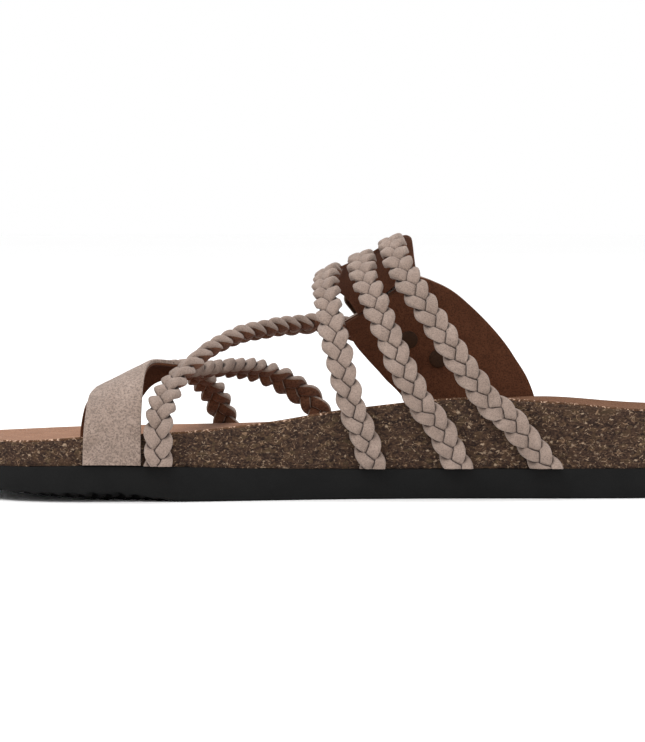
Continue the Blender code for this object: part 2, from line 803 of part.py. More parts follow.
buckle = BuckleFrame()
buckle_frame(buckle)
buckle_prong(buckle)
bores = [rivet(f"rivet_{i + 1}", drop) for i, drop in enumerate(RIVET_DROPS)]
upper(buckle, bores)
instep_strap(buckle)
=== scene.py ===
"""Looks of the toe loop sandal: suede straps and braids, cork footbed, foam outsole and a bronze buckle.

Sizes are in millimetres, as in the part's source, and meshes are scaled to metres when they are made. +X runs
from the toe to the heel, -Y is the medial side and the floor is at Z = 0.
"""

import math

import bmesh
import bpy
import numpy as np
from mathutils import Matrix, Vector, noise


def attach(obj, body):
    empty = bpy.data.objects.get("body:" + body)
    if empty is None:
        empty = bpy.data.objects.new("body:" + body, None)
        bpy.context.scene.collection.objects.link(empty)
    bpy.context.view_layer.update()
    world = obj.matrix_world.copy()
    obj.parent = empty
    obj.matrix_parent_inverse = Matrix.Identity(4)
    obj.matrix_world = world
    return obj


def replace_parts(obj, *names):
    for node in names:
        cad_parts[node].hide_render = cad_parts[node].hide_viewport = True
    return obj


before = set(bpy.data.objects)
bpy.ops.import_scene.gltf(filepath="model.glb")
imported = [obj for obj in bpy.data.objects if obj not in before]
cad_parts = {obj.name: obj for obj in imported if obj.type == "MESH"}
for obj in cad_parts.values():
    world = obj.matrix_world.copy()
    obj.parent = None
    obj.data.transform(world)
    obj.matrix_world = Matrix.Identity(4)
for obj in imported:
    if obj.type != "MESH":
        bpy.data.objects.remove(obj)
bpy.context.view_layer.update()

MM = 0.001
GAP = 0.3
SEED = 11

# Camera and image
IMAGE_HEIGHT = 742
FOCAL_PIXELS = 3300
SENSOR = 36.0
CAMERA_PLACE = (-0.006, -1.1, 0.1006)
CAMERA_DIP = 3.17

# Sole
SOLE_LENGTH = 252.0
LEDGE = 1.2
HEEL_RADIUS = 33.0
TOE_RADIUS = 47.0
TOE_ROUNDNESS = 2.4
TOE_LEAN = 5.0
TOE_LEAN_START = -60.0
SPRING_START = -56.0
SPRING_RISE = 4.6
INSOLE_THICKNESS = 1.5
INSOLE_LIFT = 0.45
CUP_POWER = 3.2
TIP_SHARE = 0.0035

# Straps
LEATHER = 2.0
LINING_THICKNESS = 0.7
SKIN_GAP = 0.05
BRAID_THICKNESS = 4.4
TOE_LEG_Y = -8.5

# Buckle and rivets
WIRE_RADIUS = 1.2
WIRE_SIDES = 16
PRONG_RADIUS = 0.8
BAR_RAISED = 3.8
FRAME_WIDTH = 25.0
FRAME_SHIFT = 1.9
FRAME_DEPTH = 10.0
FRAME_CORNER = 3.0
FRAME_TIP_IN = 0.2
FOLD_THICKNESS = 1.2
FOLD_EDGE = 0.3
FOLD_LENGTH = 18.8
NOTCH_WIDTH = 5.0
RIVET_RADIUS = 3.15
RIVET_HEAD = 0.5
SHANK_RADIUS = 1.3
RIVET_PLACES = ((15.3, 0.375), (27.0, 0.455))
HOLE_RADIUS = 1.2
HOLE_STRETCH = 1.5
HOLE_DEPTH = 0.4
HOLE_LIFT = 0.03

# Radius of a ring that stands for a point
POINT_RADIUS = 0.02


def columns(names, rows):
    """A table as a dict of arrays, one for each named column."""
    return dict(zip(names, np.array(rows, float).T))


# Cork wall half widths, rim heights, footbed height and outsole height at stations along the sole
SOLE = columns(
    ("x", "medial", "lateral", "medial_rim", "lateral_rim", "bed", "sole_top"),
    (
        (-126, 36.0, 34.0, 17.3, 16.9, 16.0, 11.0),
        (-104, 42.0, 39.0, 17.6, 16.5, 15.3, 11.2),
        (-80, 44.2, 43.0, 19.2, 16.6, 15.2, 11.8),
        (-54, 43.5, 44.0, 20.4, 17.0, 15.4, 11.3),
        (-28, 39.5, 42.5, 22.8, 17.7, 16.2, 10.4),
        (5, 34.0, 39.0, 27.6, 20.4, 18.2, 9.8),
        (45, 31.8, 35.5, 30.9, 25.8, 20.0, 9.7),
        (70, 31.8, 33.5, 29.4, 27.3, 19.8, 9.7),
        (100, 31.0, 31.5, 26.9, 25.5, 19.0, 9.7),
        (126, 30.0, 30.0, 26.3, 25.0, 19.0, 9.7),
    ),
)

# Top of the foot under the straps
INSTEP = columns(
    ("x", "crest_z", "crest_y"),
    (
        (-64, 38.1, 0.0),
        (-50, 39.1, 0.5),
        (-37, 41.6, 1.0),
        (-27, 45.6, 1.5),
        (-17, 53.6, 2.0),
        (-4, 70.1, 2.0),
        (9, 75.8, 3.0),
        (19, 81.2, 3.0),
        (32, 86.2, 3.0),
        (80, 94.6, 3.0),
    ),
)

# Top of the big toe under the toe loop
BIG_TOE = columns(
    ("x", "crest_z", "crest_y"),
    (
        (-95, 30.6, -26.0),
        (-86, 31.6, -26.0),
        (-76, 35.9, -25.0),
        (-66, 40.8, -23.5),
        (-61, 42.8, -22.0),
        (-54, 42.2, -20.0),
    ),
)

# A strap's route has a row for each point that it passes. "around" goes round the foot: -2 is the medial
# edge of the outsole, -1 the medial rim, 0 the crest, 1 the lateral rim and 2 the lateral edge of the
# outsole. "raised" is the strap's height over the foot.
ROUTE_COLUMNS = ("x", "around", "raised")
BRAIDS = {
    "diagonal": (
        (-58.8, -2.35, 0.4),
        (-58.8, -1.30, 0.4),
        (-58.4, -0.82, 0.0),
        (-55.6, -0.52, 1.2),
        (-50.2, -0.32, 3.1),
        (-43.2, -0.14, 5.6),
        (-34.0, 0.03, 6.9),
        (-26.0, 0.17, 5.7),
        (-17.0, 0.34, 3.6),
        (-8.5, 0.49, 1.1),
        (-1.5, 0.565, 0.0),
        (5.0, 0.61, 0.5),
        (12.0, 0.62, 0.9),
    ),
    "toe_rear": (
        (3.0, 2.35, 0.4),
        (-6.0, 1.00, 0.4),
        (-17.0, 0.76, 0.0),
        (-27.0, 0.54, -0.4),
        (-35.0, 0.34, -1.4),
        (-44.0, 0.14, -1.8),
        (-52.0, -0.06, -0.9),
        (-58.5, -0.28, 0.0),
    ),
    "toe_front": (
        (-37.0, 2.35, 0.4),
        (-39.2, 1.00, 0.4),
        (-41.2, 0.84, 0.0),
        (-44.6, 0.64, 0.0),
        (-48.8, 0.42, 0.0),
        (-53.8, 0.17, 0.2),
        (-56.5, -0.10, -1.2),
    ),
    "instep_front": (
        (12.8, -2.45, 0.4),
        (4.8, -1.05, 0.4),
        (0.4, -0.80, 0.0),
        (-3.6, -0.50, 0.0),
        (-4.9, -0.22, 0.0),
        (-4.0, 0.0, 0.0),
        (-2.8, 0.20, 0.0),
    ),
    "instep_middle": (
        (42.8, -2.45, 0.4),
        (27.4, -1.05, 0.4),
        (18.9, -0.82, 0.0),
        (12.0, -0.55, 0.0),
        (7.2, -0.25, 0.0),
        (7.1, 0.0, 0.0),
        (8.2, 0.20, 0.0),
    ),
    "instep_rear": (
        (74.0, -2.45, 0.4),
        (50.6, -1.06, 0.4),
        (37.9, -0.84, 0.0),
        (27.7, -0.62, 0.0),
        (23.9, -0.52, 0.0),
        (17.8, -0.25, 0.0),
        (16.9, 0.0, 0.0),
        (17.8, 0.20, 0.0),
    ),
}

# A flat strap lies between a front and a rear edge
TOE_LOOP_FRONT = (
    (-82.8, -2.0, 0.0),
    (-82.6, -1.0, 0.0),
    (-82.0, -0.55, 0.0),
    (-81.5, -0.25, 0.0),
    (-80.0, -0.02, 0.0),
    (-80.2, 0.17, 0.0),
    (-84.8, 0.55, 0.0),
    (-86.4, 1.0, 0.0),
    (-86.4, 2.0, 0.0),
)
TOE_LOOP_REAR = (
    (-64.2, -2.0, 0.0),
    (-64.2, -1.0, 0.0),
    (-63.9, -0.55, 0.0),
    (-63.2, -0.25, 0.0),
    (-61.0, -0.04, 0.0),
    (-47.5, 0.20, 0.0),
    (-64.5, 0.55, 0.0),
    (-72.2, 1.0, 0.0),
    (-72.2, 2.0, 0.0),
)
QUARTER_FRONT = (
    (35.6, 2.0, 0.0),
    (24.6, 1.0, 0.0),
    (15.3, 0.85, 0.0),
    (8.9, 0.745, 0.0),
    (4.9, 0.667, 0.0),
    (3.0, 0.59, 0.0),
)
QUARTER_REAR = (
    (77.0, 2.0, 0.0),
    (67.5, 1.0, 0.0),
    (59.2, 0.83, 0.0),
    (45.0, 0.635, 0.0),
    (37.6, 0.545, 0.0),
    (28.3, 0.48, 0.0),
)
YOKE_FRONT = (
    (-7.5, 0.04, 0.0),
    (-3.8, 0.26, 0.1),
    (2.2, 0.39, 0.1),
    (7.0, 0.49, 3.2),
    (8.6, 0.556, 7.6),
    (13.6, 0.658, 5.8),
    (20.6, 0.79, 3.6),
    (31.0, 0.884, 3.0),
)
YOKE_REAR = (
    (22.6, 0.04, 0.0),
    (23.0, 0.17, 0.1),
    (23.0, 0.294, 0.1),
    (24.1, 0.418, 3.2),
    (26.4, 0.482, 7.6),
    (31.5, 0.578, 5.8),
    (38.2, 0.708, 3.6),
    (39.8, 0.832, 3.0),
)

# The quarter strap's suede and lining cover the inside of the fold round the buckle's bar
QUARTER_SUEDE_FRONT = (*QUARTER_FRONT[:-1], (1.3, 0.547, 0.0))
QUARTER_SUEDE_REAR = (*QUARTER_REAR[:-1], (26.7, 0.438, 0.0))
QUARTER_LINING_FRONT = (*QUARTER_FRONT[:-1], (1.6, 0.554, 0.0))
QUARTER_LINING_REAR = (*QUARTER_REAR[:-1], (26.9, 0.445, 0.0))

# The yoke's lining ends above the buckle's bar
YOKE_LINING_FRONT = (
    (-7.5, 0.03, 1.2),
    (-6.6, 0.09, 0.8),
    (-5.7, 0.16, 0.4),
    (-4.0, 0.25, 0.1),
    (1.0, 0.37, 0.1),
    (6.0, 0.523, 0.1),
)
YOKE_LINING_REAR = (
    (18.9, 0.0, 2.5),
    (22.1, 0.06, 2.1),
    (24.0, 0.13, 1.2),
    (24.5, 0.20, 0.4),
    (25.0, 0.29, 0.1),
    (25.8, 0.40, 0.1),
)


def hermite(knots, values, at):
    """Smooth curve through a table's rows that never overshoots one, held at its ends."""
    rise = np.diff(values) / np.diff(knots)
    before, after = rise[:-1], rise[1:]
    same = before * after > 0
    inner = np.where(same, 2 * before * after / np.where(same, before + after, 1), 0)
    slopes = np.concatenate([rise[:1], inner, rise[-1:]])
    at = np.clip(at, knots[0], knots[-1])
    row = np.clip(np.searchsorted(knots, at) - 1, 0, len(knots) - 2)
    span = knots[row + 1] - knots[row]
    t = (at - knots[row]) / span
    start = (2 * t**3 - 3 * t**2 + 1) * values[row] + (t**3 - 2 * t**2 + t) * span * slopes[row]
    end = (3 * t**2 - 2 * t**3) * values[row + 1] + (t**3 - t**2) * span * slopes[row + 1]
    return start + end


def sole(column, x):
    return hermite(SOLE["x"], SOLE[column], x)


def end_round(x, grow):
    """Share of the full width that is left where the outline rounds off at the heel and the toe."""
    half = SOLE_LENGTH / 2 - LEDGE + grow
    heel, toe = HEEL_RADIUS + grow, TOE_RADIUS + grow
    from_heel = np.clip((heel - (half - x)) / heel, 0, 1)
    from_toe = np.clip((toe - (half + x)) / toe, 0, 1)
    return np.sqrt(1 - from_heel**2) * (1 - from_toe**TOE_ROUNDNESS) ** (1 / TOE_ROUNDNESS)


def smoothstep(t):
    t = np.clip(t, 0, 1)
    return t * t * (3 - 2 * t)


def wall(x, side, grow=0.0):
    """Y of the cork's side wall, medial for side -1 and lateral for side 1."""
    lean = -TOE_LEAN * smoothstep((TOE_LEAN_START - x) / (SOLE_LENGTH / 2 + TOE_LEAN_START))
    width = sole("medial", x) if side < 0 else sole("lateral", x)
    return lean + side * (width + grow) * end_round(x, grow)


def ground(x):
    """Height of the outsole's underside: flat, with a toe spring."""
    reach = SOLE_LENGTH / 2 + SPRING_START
    return SPRING_RISE * np.clip((SPRING_START - x) / reach, 0, None) ** 2


def bed_height(x, u):
    """Top of the cork from the medial rim, u -1, to the lateral rim, u 1. It rises to its edges."""
    half = SOLE_LENGTH / 2 - LEDGE
    heel = np.maximum((HEEL_RADIUS - (half - x)) / HEEL_RADIUS, 0) ** 2
    toe = np.maximum((TOE_RADIUS - (half + x)) / TOE_RADIUS, 0) ** 2
    cup = (heel + toe + u**2 * (1 - heel - toe)) ** (CUP_POWER / 2)
    rim = sole("medial_rim", x) + (sole("lateral_rim", x) - sole("medial_rim", x)) * smoothstep((u + 1) / 2)
    return sole("bed", x) + (rim - sole("bed", x)) * cup


def round_arch(x, around, raised, crest, lateral_wall, rims, lows):
    """Points on a foot's section: an elliptic arch over two rims, with a straight drop below each."""
    x, around, raised = np.broadcast_arrays(*(np.asarray(v, float) for v in (x, around, raised)))
    side = np.where(around < 0, -1.0, 1.0)
    edge = np.where(around < 0, wall(x, -1) - GAP, lateral_wall)
    rim, low = np.where(around < 0, rims[0], rims[1]), np.where(around < 0, lows[0], lows[1])
    crest_z, crest_y = (hermite(crest["x"], crest[name], x) for name in ("crest_z", "crest_y"))
    angle = np.minimum(np.abs(around), 1) * math.pi / 2
    width, height = np.abs(edge - crest_y), crest_z - rim
    out_y, out_z = side * np.sin(angle) / width, np.cos(angle) / height
    size = np.hypot(out_y, out_z)
    out = np.stack([0 * x, out_y / size, out_z / size], -1)
    drop = np.maximum(np.abs(around) - 1, 0)
    y = crest_y + (edge - crest_y) * np.sin(angle)
    z = rim + height * np.cos(angle) + (low - rim) * drop
    return np.stack([x, y, z], -1) + raised[..., None] * out


def foot_arch(x, around, raised=0.0):
    """Points over the foot, where the braids, the quarter strap and the yoke lie."""
    low = sole("sole_top", x) + GAP
    rims = (sole("medial_rim", x), sole("lateral_rim", x))
    return round_arch(x, around, raised, INSTEP, wall(x, 1) + GAP, rims, (low, low))


def toe_arch(x, around, raised=0.0):
    """Points over the big toe. The lateral leg goes down between the toes."""
    low = sole("sole_top", x) + GAP
    rims = (sole("medial_rim", x), sole("bed", x) + GAP + INSOLE_THICKNESS)
    return round_arch(x, around, raised, BIG_TOE, TOE_LEG_Y, rims, (low, low + GAP))


def route(rows, steps):
    """A route's columns at even steps between its rows."""
    table = columns(ROUTE_COLUMNS, rows)
    rows_at = np.arange(len(rows), dtype=float)
    at = np.asarray(steps) * (len(rows) - 1)
    return [hermite(rows_at, table[name], at) for name in ROUTE_COLUMNS]


def unit(v):
    return v / np.linalg.norm(v, axis=-1, keepdims=True)


def distances(line):
    """How far along a line each of its points is."""
    return np.concatenate([[0], np.cumsum(np.linalg.norm(np.diff(line, axis=0), axis=1))])


def arc(count=5):
    """Angles of a quarter turn."""
    return np.linspace(0, math.pi / 2, count)


def circle(count):
    """Angles of a full turn."""
    return np.linspace(0, 2 * math.pi, count, endpoint=False)


# Meshes

SHARP_ANGLE = math.radians(48)


def piece(name, points, faces, materials, material_of_face=None):
    """A mesh object in metres, from points in millimetres, that rides on the one body."""
    mesh = bpy.data.meshes.new(name)
    mesh.from_pydata((np.asarray(points).reshape(-1, 3) * MM).tolist(), [], faces)
    for stuff in materials:
        mesh.materials.append(stuff)
    if material_of_face is not None:
        mesh.polygons.foreach_set("material_index", np.asarray(material_of_face, np.int32))
    mesh.validate()
    return settle(name, mesh)


def settle(name, mesh):
    """Turns the faces out, shades them smooth and lets the object ride on the body."""
    bm = bmesh.new()
    bm.from_mesh(mesh)
    bm.normal_update()
    bmesh.ops.recalc_face_normals(bm, faces=bm.faces)
    bm.to_mesh(mesh)
    bm.free()
    mesh.shade_smooth()
    mesh.set_sharp_from_angle(angle=SHARP_ANGLE)
    obj = bpy.data.objects.new(name, mesh)
    bpy.context.scene.collection.objects.link(obj)
    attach(obj, "root")
    return obj


def loft_faces(rings, size, closed=False, start=0):
    """Faces of a skin through rings of points, each with size points. Open ends get a cap."""
    faces = []
    for i in range(rings if closed else rings - 1):
        a, b = i * size, (i + 1) % rings * size
        for k in range(size):
            m = (k + 1) % size
            faces.append((start + a + k, start + a + m, start + b + m, start + b + k))
    if not closed:
        faces.append(tuple(start + k for k in range(size))[::-1])
        faces.append(tuple(start + (rings - 1) * size + k for k in range(size)))
    return faces


def section(x, y, z):
    """Points of a section across the sole."""
    return np.stack([np.full(len(y), x), y, z], -1)


def stations(grow, count):
    """Places along the sole, closer together where the outline rounds off."""
    half = (SOLE_LENGTH / 2 - LEDGE + grow) * (1 - TIP_SHARE)
    return -half * np.cos(np.linspace(0, math.pi, count))


# Materials


def srgb(red, green, blue):
    """A colour given as screen values, 0 to 255, in linear light."""
    share = np.array((red, green, blue)) / 255
    linear = np.where(share <= 0.04045, share / 12.92, ((share + 0.055) / 1.055) ** 2.4)
    return (*linear.tolist(), 1.0)


class Shader:
    """A Principled material and short ways to add nodes to it."""

    def __init__(self, name, roughness, specular=0.2, sheen=0.0, metallic=0.0):
        self.material = bpy.data.materials.new(name)
        self.material.use_nodes = True
        self.tree = self.material.node_tree
        self.surface = self.tree.nodes["Principled BSDF"]
        sockets = self.surface.inputs
        sockets["Roughness"].default_value = roughness
        sockets["Specular IOR Level"].default_value = specular
        sockets["Sheen Weight"].default_value = sheen
        sockets["Sheen Roughness"].default_value = 0.6
        sockets["Metallic"].default_value = metallic
        self.place = self.node("ShaderNodeTexCoord").outputs["Object"]

    def node(self, kind, inputs=None, **settings):
        made = self.tree.nodes.new(kind)
        for key, value in settings.items():
            setattr(made, key, value)
        for key, value in (inputs or {}).items():
            if isinstance(value, bpy.types.NodeSocket):
                self.tree.links.new(value, made.inputs[key])
            else:
                made.inputs[key].default_value = value
        return made

    def stretched(self, scale):
        return self.node("ShaderNodeMapping", {"Vector": self.place, "Scale": scale}).outputs["Vector"]

    def warped(self, place, scale, reach):
        """Places pushed about by noise, for ragged shapes."""
        inputs = {"Vector": place, "Scale": scale, "Detail": 2.0}
        wave = self.node("ShaderNodeTexNoise", inputs).outputs["Color"]
        push = self.node("ShaderNodeVectorMath", {0: wave, "Scale": reach}, operation="SCALE")
        inputs = {0: place, 1: push.outputs["Vector"]}
        return self.node("ShaderNodeVectorMath", inputs, operation="ADD").outputs["Vector"]

    def noise(self, scale, detail=3.0, rough=0.55, place=None, bend=0.0):
        """Noise whose features are 1 / scale metres across."""
        inputs = {"Vector": place or self.place, "Scale": scale, "Detail": detail, "Roughness": rough}
        return self.node("ShaderNodeTexNoise", {**inputs, "Distortion": bend}).outputs["Fac"]

    def cells(self, scale, place):
        return self.node("ShaderNodeTexVoronoi", {"Vector": place, "Scale": scale})

    def ramp(self, value, stops):
        """Colours at places from 0 to 1."""
        made = self.node("ShaderNodeValToRGB", {"Fac": value})
        elements = made.color_ramp.elements
        for spare in list(elements)[1:]:
            elements.remove(spare)
        for i, (place, colour) in enumerate(stops):
            element = elements[0] if i == 0 else elements.new(place)
            element.position = place
            element.color = colour
        return made.outputs["Color"]

    def grey(self, value, low, high):
        """A value spread from black at low to white at high."""
        inputs = {"Value": value, "From Min": low, "From Max": high}
        return self.node("ShaderNodeMapRange", inputs).outputs["Result"]

    def math(self, operation, first, second):
        return self.node("ShaderNodeMath", {0: first, 1: second}, operation=operation).outputs["Value"]

    def mix(self, share, first, second):
        made = self.node("ShaderNodeMix", data_type="RGBA")
        for key, value in (("Factor_Float", share), ("A_Color", first), ("B_Color", second)):
            socket = next(s for s in made.inputs if s.identifier == key)
            if isinstance(value, bpy.types.NodeSocket):
                self.tree.links.new(value, socket)
            else:
                socket.default_value = value
        return next(s for s in made.outputs if s.identifier == "Result_Color")

    def finish(self, colour, height=None, strength=0.5, distance=0.2, roughness=None):
        self.tree.links.new(colour, self.surface.inputs["Base Color"])
        if roughness is not None:
            self.tree.links.new(roughness, self.surface.inputs["Roughness"])
        if height is not None:
            inputs = {"Height": height, "Strength": strength, "Distance": distance * MM}
            bump = self.node("ShaderNodeBump", inputs).outputs["Normal"]
            self.tree.links.new(bump, self.surface.inputs["Normal"])
        return self.material


def suede(name, dark, light, grain=1500.0, strength=0.9, sheen=0.15, pitted=0.65, fade=None, crease_shade=None):
    """Brushed leather: soft patches, a pebbled grain with darker pits, and a fine nap. Fade gives two places
    along the sole, in metres, between which it darkens, and by how much. Crease shade is how far, in metres,
    painted shade reaches into narrow gaps, where ambient occlusion darkens the colour towards dark brown.
    """
    shader = Shader(name, 0.95, specular=0.1, sheen=sheen)
    deep = (*(0.4 * c for c in dark[:3]), 1.0)
    patches = shader.noise(120.0, 2.0)
    pebbles = shader.noise(grain, 1.5, 0.55, bend=0.4)
    hairs = shader.noise(4200.0, 2.0, 0.7)
    colour = shader.mix(shader.grey(patches, 0.3, 0.7), dark, light)
    pits = shader.math("MULTIPLY", shader.grey(pebbles, 0.56, 0.38), pitted)
    colour = shader.mix(pits, colour, deep)
    colour = shader.mix(shader.grey(hairs, 0.45, 0.8), colour, light)
    if fade is not None:
        along = shader.node("ShaderNodeSeparateXYZ", {"Vector": shader.place}).outputs["X"]
        share = shader.math("MULTIPLY", shader.grey(along, *fade[:2]), fade[2])
        colour = shader.mix(share, colour, deep)
    if crease_shade is not None:
        # Painted shade: ambient occlusion darkens narrow gaps between the laces towards dark brown.
        open_share = shader.node("ShaderNodeAmbientOcclusion", {"Distance": crease_shade}).outputs["AO"]
        colour = shader.mix(shader.grey(open_share, 0.72, 0.28), colour, srgb(58, 42, 34))
    height = shader.math("ADD", shader.grey(pebbles, 0.3, 0.6), shader.math("MULTIPLY", hairs, 0.5))
    return shader.finish(colour, height, strength, 0.3)


def cork():
    """Pressed crumbs of cork: dark and light grains, thin curled shavings and a few pale specks."""
    shader = Shader("cork_crumb", 0.9, specular=0.1)
    place = shader.stretched((0.8, 1.0, 1.2))
    crumbs = shader.cells(640.0, place)
    tones = shader.node("ShaderNodeSeparateColor", {"Color": crumbs.outputs["Color"]})
    fine = shader.noise(1500.0, 2.0, 0.6, place)
    stops = (
        (0.0, srgb(30, 23, 21)),
        (0.3, srgb(48, 36, 31)),
        (0.55, srgb(60, 45, 37)),
        (0.8, srgb(74, 56, 42)),
        (1.0, srgb(80, 66, 48)),
    )
    colour = shader.ramp(tones.outputs["Red"], stops)
    grain = shader.ramp(fine, ((0.32, srgb(28, 21, 18)), (0.5, srgb(58, 43, 36)), (0.68, srgb(100, 77, 60))))
    colour = shader.mix(0.5, colour, grain)
    for scale, shade in ((260.0, srgb(138, 111, 88)), (430.0, srgb(164, 140, 116))):
        curl = shader.noise(scale, 0.5, 0.5, place, 1.6)
        thin = shader.grey(shader.math("ABSOLUTE", shader.math("SUBTRACT", curl, 0.5), 0.0), 0.030, 0.008)
        broken = shader.grey(shader.noise(2.3 * scale, 1.0, 0.5, place), 0.53, 0.60)
        streaks = shader.math("MULTIPLY", shader.math("MULTIPLY", thin, broken), 0.75)
        colour = shader.mix(streaks, colour, shade)
    specks = shader.cells(900.0, shader.warped(place, 900.0, 0.0016))
    pick = shader.node("ShaderNodeSeparateColor", {"Color": specks.outputs["Color"]}).outputs["Green"]
    near = shader.grey(specks.outputs["Distance"], 0.55, 0.3)
    few = shader.math("MULTIPLY", shader.grey(pick, 0.95, 1.0), near)
    colour = shader.mix(few, colour, srgb(160, 138, 116))
    height = shader.math("ADD", fine, shader.math("MULTIPLY", tones.outputs["Blue"], 0.6))
    return shader.finish(colour, height, 0.6, 0.3)


def foam():
    """Black foam with a fine skin."""
    shader = Shader("black_foam_skin", 0.8, specular=0.12)
    cloud = shader.noise(90.0, 3.0)
    skin = shader.noise(2600.0, 2.0, 0.6)
    colour = shader.ramp(cloud, ((0.3, srgb(17, 17, 17)), (0.7, srgb(21, 21, 21))))
    rough = shader.grey(skin, -1.2, 1.2)
    return shader.finish(colour, skin, 0.25, 0.12, rough)


def bronze():
    """Dark plated wire with worn places."""
    shader = Shader("dark_bronze_plate", 0.35, metallic=1.0)
    wear = shader.noise(500.0, 4.0, 0.6)
    colour = shader.ramp(wear, ((0.35, srgb(58, 46, 38)), (0.75, srgb(104, 84, 64))))
    return shader.finish(colour, wear, 0.15, 0.1, shader.grey(wear, -0.4, 2.2))


def floor_material():
    shader = Shader("pale_floor", 0.9, specular=0.1)
    tones = ((0.0, srgb(253, 253, 253)), (1.0, srgb(255, 255, 255)))
    return shader.finish(shader.ramp(shader.noise(3.0), tones))


def frayed_edge():
    """Cut edge of the sock: dark brown with pale frayed fibres."""
    shader = Shader("frayed_edge", 0.95, specular=0.1)
    grain = shader.noise(700.0, 2.0)
    fibres = shader.noise(1150.0, 1.5, 0.6, bend=0.6)
    colour = shader.ramp(grain, ((0.3, srgb(62, 41, 29)), (0.7, srgb(100, 73, 54))))
    colour = shader.mix(shader.grey(fibres, 0.55, 0.64), colour, srgb(190, 158, 136))
    return shader.finish(colour, fibres, 0.6, 0.3)


def dark_rivet():
    """Dull brown paint that has sunk into the leather's grain, on the rivets. On the prong hole's disc the
    same dark brown is painted shade.
    """
    shader = Shader("dark_rivet_paint_and_hole_shade", 0.7, specular=0.2)
    grain = shader.noise(1500.0, 3.0, 0.6)
    colour = shader.ramp(grain, ((0.3, srgb(45, 28, 16)), (0.7, srgb(62, 40, 24))))
    return shader.finish(colour, grain, 0.3, 0.15)


# Dark and light tones of the leathers
STONE = (srgb(136, 117, 105), srgb(166, 146, 134))
BROWN = (srgb(82, 48, 31), srgb(101, 63, 43))
# Brown of the laces' inner side, lighter than the lining's brown as painted bounce light from the floor and
# the insole.
PAINTED_LIGHT_BACK_BROWN = (srgb(98, 62, 44), srgb(128, 88, 65))
TAN = (srgb(134, 92, 66), srgb(154, 112, 85))
LACE_STONE = (srgb(136, 117, 105), srgb(164, 144, 132))
HEEL_FADE = (-0.03, 0.06, 0.65)

SUEDE = suede("stone_suede_nap", *STONE)
LINING = suede("brown_lining", *BROWN, grain=2000.0, strength=0.3, sheen=0.05)
LACE_BACK_PAINTED_LIGHT = suede("brown_lace_back_painted_light", *PAINTED_LIGHT_BACK_BROWN, grain=1600.0, strength=0.6, sheen=0.1)
SOCK = suede("tan_sock_suede", *TAN, grain=2000.0, strength=0.4, sheen=0.1, fade=HEEL_FADE)
# The laces carry painted shade in the narrow gaps between them.
LACE = suede("stone_lace_nap_crease_shade", *LACE_STONE, grain=2600.0, strength=0.7, pitted=0.45, crease_shade=0.002)
EDGE = frayed_edge()
CORK = cork()
FOAM = foam()
BRONZE = bronze()
RIVET_PAINT_AND_HOLE_SHADE = dark_rivet()


# Sole

TREAD_PITCH = 4.3
TREAD_DEPTH = 1.1
TREAD_FADE = 2.0
TREAD_WAVE = 1.6
TREAD_WAVE_PITCH = 13.0
GROOVE_BIAS = 0.1
GROOVE_SLOPE = 0.6
# Start, end and half width of each patterned zone
TREAD_ZONES = ((-119.0, -22.0, 60.0), (58.0, 114.0, 22.0))
ROCKER_RISE = 3.0
ROCKER_REACH = 8.0
ROCKER_WAVE = 0.3
ROCKER_PITCH = 7.4
ROCKER_START = -48.0
ROCKER_RAMP = 26.0
ROCKER_POWER = 1.5
SIDE_ROUND = 0.8
TOP_ROUND = 0.4
RIM_ROUND = 0.5
RIM_LIP = 1.3
CRUMB_SIZE = 2.4
CRUMB_DEPTH = 0.16
CRUMB_SCATTER = 7.0
SOCK_EDGE = 0.5
SOCK_CLEARANCE = 0.1
SOCK_SINK = 0.5

# Rings along each layer of the sole, and points across it
OUTSOLE_RINGS, TREAD_POINTS = 640, 44
FOOTBED_RINGS, BED_POINTS, WALL_POINTS = 420, 15, 14
INSOLE_RINGS, SOCK_POINTS, SOCK_UNDER_STEP = 360, 45, 4


def tread(x, y):
    """Depth of the wavy grooves across the outsole's underside."""
    wave = TREAD_WAVE * np.sin(2 * math.pi * y / TREAD_WAVE_PITCH)
    groove = smoothstep((np.sin(2 * math.pi * (x + wave) / TREAD_PITCH) + GROOVE_BIAS) / GROOVE_SLOPE)
    zone = 0
    for start, end, reach in TREAD_ZONES:
        inside = smoothstep((x - start) / TREAD_FADE) * smoothstep((end - x) / TREAD_FADE)
        zone = zone + inside * smoothstep((reach - np.abs(y)) / TREAD_FADE)
    return TREAD_DEPTH * groove * zone


def rocker(x, inside):
    """How far the underside rises to its edge at the ball of the foot, where the tread runs out in waves."""
    share = np.clip(1 - inside / ROCKER_REACH, 0, 1) ** ROCKER_POWER
    wave = ROCKER_WAVE * np.sin(2 * math.pi * x / ROCKER_PITCH)
    rise = np.maximum(ROCKER_RISE - ground(x), 0) + wave
    return rise * share * smoothstep((ROCKER_START - x) / ROCKER_RAMP)


